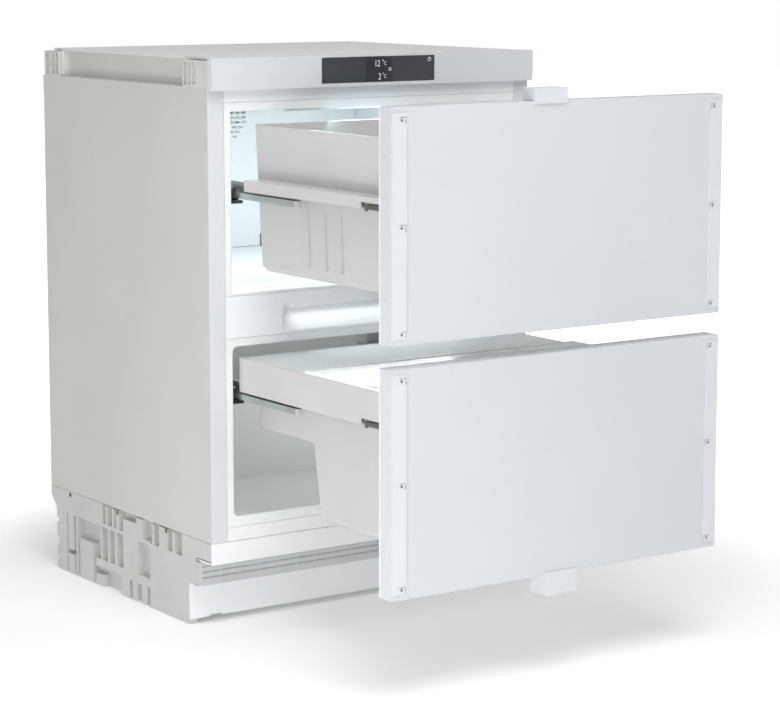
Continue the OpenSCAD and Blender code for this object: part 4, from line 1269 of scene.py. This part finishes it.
@dataclass
class Cooling:
    """Compressor on its grommets, with pipes and dryer."""

    at: Pair = (-120.0, 415.0)
    plate_z: float = 21.5
    mount_offset: Pair = (72.0, 52.0)
    hot_stub: Point = (-40.0, 440.0, 60.0)
    cold_stub: Point = (-42.0, 470.0, 100.0)
    hot_radius: float = 3.0
    cold_radius: float = 4.0
    cover_ribs: int = 5
    bend: float = 9.0
    dryer: Pair = (180.0, 430.0)

    def pot(self) -> Form:
        """Makes the compressor's shell, base plate, filling tube and the stubs of its pipes.

        Returns:
            The form, ready to fit.
        """
        form = Form()
        z = self.plate_z + 4
        shell = [(0, 0), (30, 0.4), (52, 4.5), (64, 11), (71, 20), (75, 33), (76, 46), (76, 87.6),
                 (78.0, 88.2), (78.5, 89), (78.5, 92), (78.0, 93), (76.4, 93.4), (76, 95),
                 (76, 130), (74, 143), (68, 154), (58, 163), (44, 168.6), (26, 171.2), (0, 172)]
        form.lathe([(r, z + h) for r, h in shell], (self.at[0], self.at[1], 0), sides=72)
        across, along = self.mount_offset
        form.block((self.at[0] - across - 13, self.at[0] + across + 13),
                   (self.at[1] - along - 13, self.at[1] + along + 13),
                   (self.plate_z, self.plate_z + 2.6), 1.0)
        for x in (-1, 1):
            lip = sorted((self.at[0] + x * (across + 11), self.at[0] + x * (across + 13)))
            form.block((lip[0], lip[1]), (self.at[1] - along - 10, self.at[1] + along + 10),
                       (self.plate_z + 1, self.plate_z + 6), 0.8)
        form.lathe([(3.0, 0), (3.0, 4), (2.4, 5), (2.4, 16), (1.6, 17), (0, 17)],
                   (self.at[0] - 40, self.at[1] - 62, z + 104), (-0.6, -0.8, 0), 16)
        start = self.at[0] + 40
        for stub, radius in ((self.hot_stub, self.hot_radius), (self.cold_stub, self.cold_radius)):
            form.drum((start, stub[1], stub[2]), (1, 0, 0), radius + 0.4, stub[0] - start, 0.4)
        return form

    def terminal_cover(self) -> Form:
        """Makes the ribbed cover over the motor's terminals.

        Returns:
            The form, ready to fit.
        """
        form = Form()
        x = self.at[0] + 68
        z = self.plate_z + 54
        form.block((x, x + 24), (self.at[1] - 22, self.at[1] + 22), (z, z + 40), 4.0, 4)
        for rib in range(self.cover_ribs):
            y = self.at[1] - 14 + rib * 7
            form.block((x + 20, x + 24), (y - 1.2, y + 1.2), (z + 5, z + 35), 0.5)
        return form

    def grommets(self) -> Form:
        """Makes the four rubber grommets.

        Returns:
            The form, ready to fit.
        """
        form = Form()
        z = self.plate_z - 14
        shape = [(0, 0), (10.4, 0), (11, 1), (11, 3.4), (9, 4.6), (9, 6.2), (10.6, 7.4),
                 (10.6, 9.4),
                 (9, 10.8), (9, 13), (9.4, 13.9), (5.9, 14), (5.9, 20), (8.4, 20.2), (8.4, 22),
                 (5, 23), (0, 23)]
        for x in (-1, 1):
            for y in (-1, 1):
                form.lathe(shape, (self.at[0] + x * self.mount_offset[0],
                                   self.at[1] + y * self.mount_offset[1], z), sides=32)
        return form

    def dryer_body(self) -> Form:
        """Makes the dryer between condenser and capillary tube.

        Returns:
            The form, ready to fit.
        """
        form = Form()
        form.lathe([(0, 26), (3, 26), (3.4, 30), (7, 34), (8.8, 39), (9, 44), (9, 76), (8.8, 81),
                    (7, 86), (3.9, 90), (3.6, 94), (0, 94)], (self.dryer[0], self.dryer[1], 0),
                   sides=36)
        return form

    def build(self, bench: Bench) -> None:
        """Makes and fits the pieces.

        Args:
            bench: Where forms become pieces.
        """
        bench.fit(self.pot(), "compressor_shell", "black_enamel", Body.CABINET, ("compressor",))
        bench.fit(self.terminal_cover(), "compressor_terminals", "black_plastic", Body.CABINET)
        bench.fit(self.grommets(), "compressor_grommets", "rubber", Body.CABINET,
                  ("compressor_mounts",))
        bench.fit(self.dryer_body(), "dryer", "copper", Body.CABINET)
        x, y = self.dryer
        for name, radius, route in (
                ("discharge_pipe", self.hot_radius,
                 [self.hot_stub, (-14, 440, 60), (-14, 440, 130), (254, 440, 130),
                  (254, 152, 130), (254, 152, 102), (238, 152, 102)]),
                ("suction_pipe", self.cold_radius,
                 [self.cold_stub, (-20, 470, 100), (-20, 505, 100), (-20, 505, 235),
                  (120, 505, 235), (120, 505, 255)]),
                ("liquid_pipe", self.hot_radius,
                 [(238, 130, 102), (245, 130, 102), (245, 130, 117), (245, y, 117), (x, y, 117),
                  (x, y, 92)]),
                ("capillary_tube", 2.0,
                 [(x, y, 28), (x, y, 20), (150, y, 20), (150, 480, 20), (150, 480, 255)])):
            stands_for = ("pipework",) if name == "discharge_pipe" else ()
            bench.pipe(route, radius, self.bend, name, "copper", Body.CABINET, stands_for)


@dataclass(frozen=True)
class Lamp:
    """A rectangular light that the camera doesn't see, in metres and watts."""

    name: str
    at: Point
    aim: Point
    size: Pair
    power: float
    tint: str = "#FFFFFF"
    spread: float = 180.0

    def hang(self) -> None:
        """Puts the light in the scene."""
        data = bpy.data.lights.new(self.name, "AREA")
        data.spread = math.radians(self.spread)
        data.shape = "RECTANGLE"
        data.size, data.size_y = self.size
        data.energy = self.power
        data.color = linear(self.tint)[:3]
        lamp = bpy.data.objects.new(self.name, data)
        lamp.location = self.at
        lamp.visible_camera = False
        beam = Vector(self.aim) - Vector(self.at)
        lamp.rotation_euler = beam.to_track_quat("-Z", "Y").to_euler()
        bpy.context.scene.collection.objects.link(lamp)


@dataclass
class Studio:
    """Floor, soft lights and the camera at the photograph's angle."""

    camera_at: Point = (-2.1767, -3.2331, 1.0206)
    heading: float = 34.558
    tilt: float = 8.146
    focal_pixels: float = 2499.0
    image_width: float = 780.0
    shift: float = -0.05
    ambience: float = 0.5
    floor_glow: Pair = (0.2, 0.85)
    floor_fade: Pair = (0.6, 1.3)
    sensor: float = 36.0
    lamps: tuple[Lamp, ...] = (
        Lamp("key", (-2.0, -8.2, 2.7), (-0.1, -0.3, 0.45), (2.5, 3.4), 16),
        Lamp("overhead", (-0.6, -1.8, 3.0), (0.0, 0.0, 0.2), (1.7, 1.7), 48),
        Lamp("left_fill", (-1.35, -1.0, 0.14), (-0.29, -0.2, 0.22), (0.6, 0.25), 5),
        Lamp("upper_cavity", (0.0, 0.12, 0.786), (0.0, 0.16, 0.5), (0.42, 0.2), 1.1, "#F0F6FB"),
        Lamp("lower_cavity", (0.0, 0.10, 0.434), (0.0, 0.12, 0.2), (0.42, 0.2), 0.28, "#FBFBFB"),
        Lamp("side_fill", (-1.2, -1.2, 0.45), (-0.24, -0.2, 0.5), (0.5, 0.5), 1.4),
        Lamp("recess", (0.0, -0.034, 0.4965), (0.0, -0.030, 0.455), (0.30, 0.005), 0.028,
             "#F2FAFF", 90.0),
        Lamp("glass_glow", (0.05, -0.034, 0.485), (0.08, -0.28, 0.430), (0.40, 0.01), 0.11),
        Lamp("basket_glow", (-0.04, -0.027, 0.783), (0.08, -0.40, 0.69), (0.2, 0.006), 0.5,
             "#C4E3F6"),
        Lamp("duct", (0.0, 0.430, 0.700), (0.0, 0.30, 0.700), (0.10, 0.10), 0.03, "#F4F8FB"))

    def camera(self) -> None:
        """Places the camera."""
        data = bpy.data.cameras.new("camera")
        data.sensor_width = self.sensor
        data.lens = self.sensor * self.focal_pixels / self.image_width
        data.shift_y = self.shift
        data.clip_start = 0.05
        data.clip_end = 50.0
        seen = bpy.data.objects.new("camera", data)
        seen.location = self.camera_at
        seen.rotation_euler = (math.radians(90 - self.tilt), 0.0, math.radians(-self.heading))
        bpy.context.scene.collection.objects.link(seen)
        bpy.context.scene.camera = seen

    def lights(self) -> None:
        """Sets the soft lights and the pale surroundings."""
        world = bpy.data.worlds.new("studio")
        bpy.context.scene.world = world
        world.use_nodes = True
        tree = world.node_tree
        sky = tree.nodes["Background"]
        sky.inputs["Color"].default_value = (1.0, 1.0, 1.0, 1.0)
        ray = tree.nodes.new("ShaderNodeLightPath")
        strength = tree.nodes.new("ShaderNodeMapRange")
        strength.inputs["To Min"].default_value = self.ambience
        tree.links.new(ray.outputs["Is Camera Ray"], strength.inputs["Value"])
        tree.links.new(strength.outputs["Result"], sky.inputs["Strength"])
        for lamp in self.lamps:
            lamp.hang()

    def floor(self) -> None:
        """Lays the pale floor."""
        shell = bmesh.new()
        bmesh.ops.create_grid(shell, x_segments=1, y_segments=1, size=14.0)
        mesh = bpy.data.meshes.new("floor")
        shell.to_mesh(mesh)
        shell.free()
        ground = bpy.data.objects.new("floor", mesh)
        bpy.context.scene.collection.objects.link(ground)
        shader = Shader("studio_floor")
        mottle = shader.noise(0.6, 2.0)
        tone = shader.blend(mottle, linear("#FBFBFB"), linear("#F8F8F8"))
        away = shader.node("ShaderNodeVectorMath", {"operation": "LENGTH"}, {0: shader.place()},
                           out="Value").fade(*self.floor_fade)
        away = away * shader.node("ShaderNodeLightPath", out="Is Camera Ray")
        near, far = ((g, g, g, 1.0) for g in self.floor_glow)
        mesh.materials.append(shader.finish(shader.surface({
            "Base Color": tone, "Roughness": mottle * 0.1 + 0.6,
            "Emission Color": shader.blend(away, near, far), "Emission Strength": 1.0})))

    def build(self) -> None:
        """Sets up the whole studio."""
        bpy.context.scene.view_settings.view_transform = "Standard"
        self.camera()
        self.lights()
        self.floor()


def dress_solids(frame: dict[str, object], finishes: Finishes) -> None:
    """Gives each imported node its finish.

    Args:
        finishes: The materials.
    """
    for finish, nodes in CAD_FINISHES.items():
        for node in nodes:
            finishes.dress(frame["nodes"][node], finish)
            LOG.info("%s wears %s", node, finish)


def main() -> None:
    """Builds the dressed refrigerator."""
    logging.basicConfig(level=logging.INFO, format="%(message)s")
    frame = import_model()
    finishes = Finishes()
    dress_solids(frame, finishes)
    bench = Bench(finishes)
    assemblies: tuple[Assembly, ...] = (
        Shell(), Controls(), Base(), Cooling(), Baskets(),
        Fan("condenser_fan_rotor", "condenser_fan", Body.CONDENSER_ROTOR, (150, 204, 66),
            hub=15, tip=51, depth=16, finish="black_plastic"),
        Fan("circulation_fan_rotor", "circulation_fan", Body.CIRCULATION_ROTOR, (0, 453, 753),
            hub=11, tip=35, depth=14, finish="liner"),
        DrawerFront(Level.UPPER, Body.UPPER_DRAWER, seal_z=(519.0, 806.0),
                    mark_z=(782, 759, 567, 546)),
        DrawerFront(Level.LOWER, Body.LOWER_DRAWER, seal_z=(164.3, 450.5),
                    mark_z=(429, 404, 220, 198)),
        ReleaseCatches(Level.UPPER, Body.UPPER_CATCHES, UPPER_RAIL_Z),
        ReleaseCatches(Level.LOWER, Body.LOWER_CATCHES, LOWER_RAIL_Z),
        Runners(Level.UPPER, UPPER_RAIL_Z, Body.UPPER_RUNNERS),
        Runners(Level.LOWER, LOWER_RAIL_Z, Body.LOWER_RUNNERS))
    for assembly in assemblies:
        assembly.build(bench)
    Studio().build()


if __name__ == "__main__":
    main()
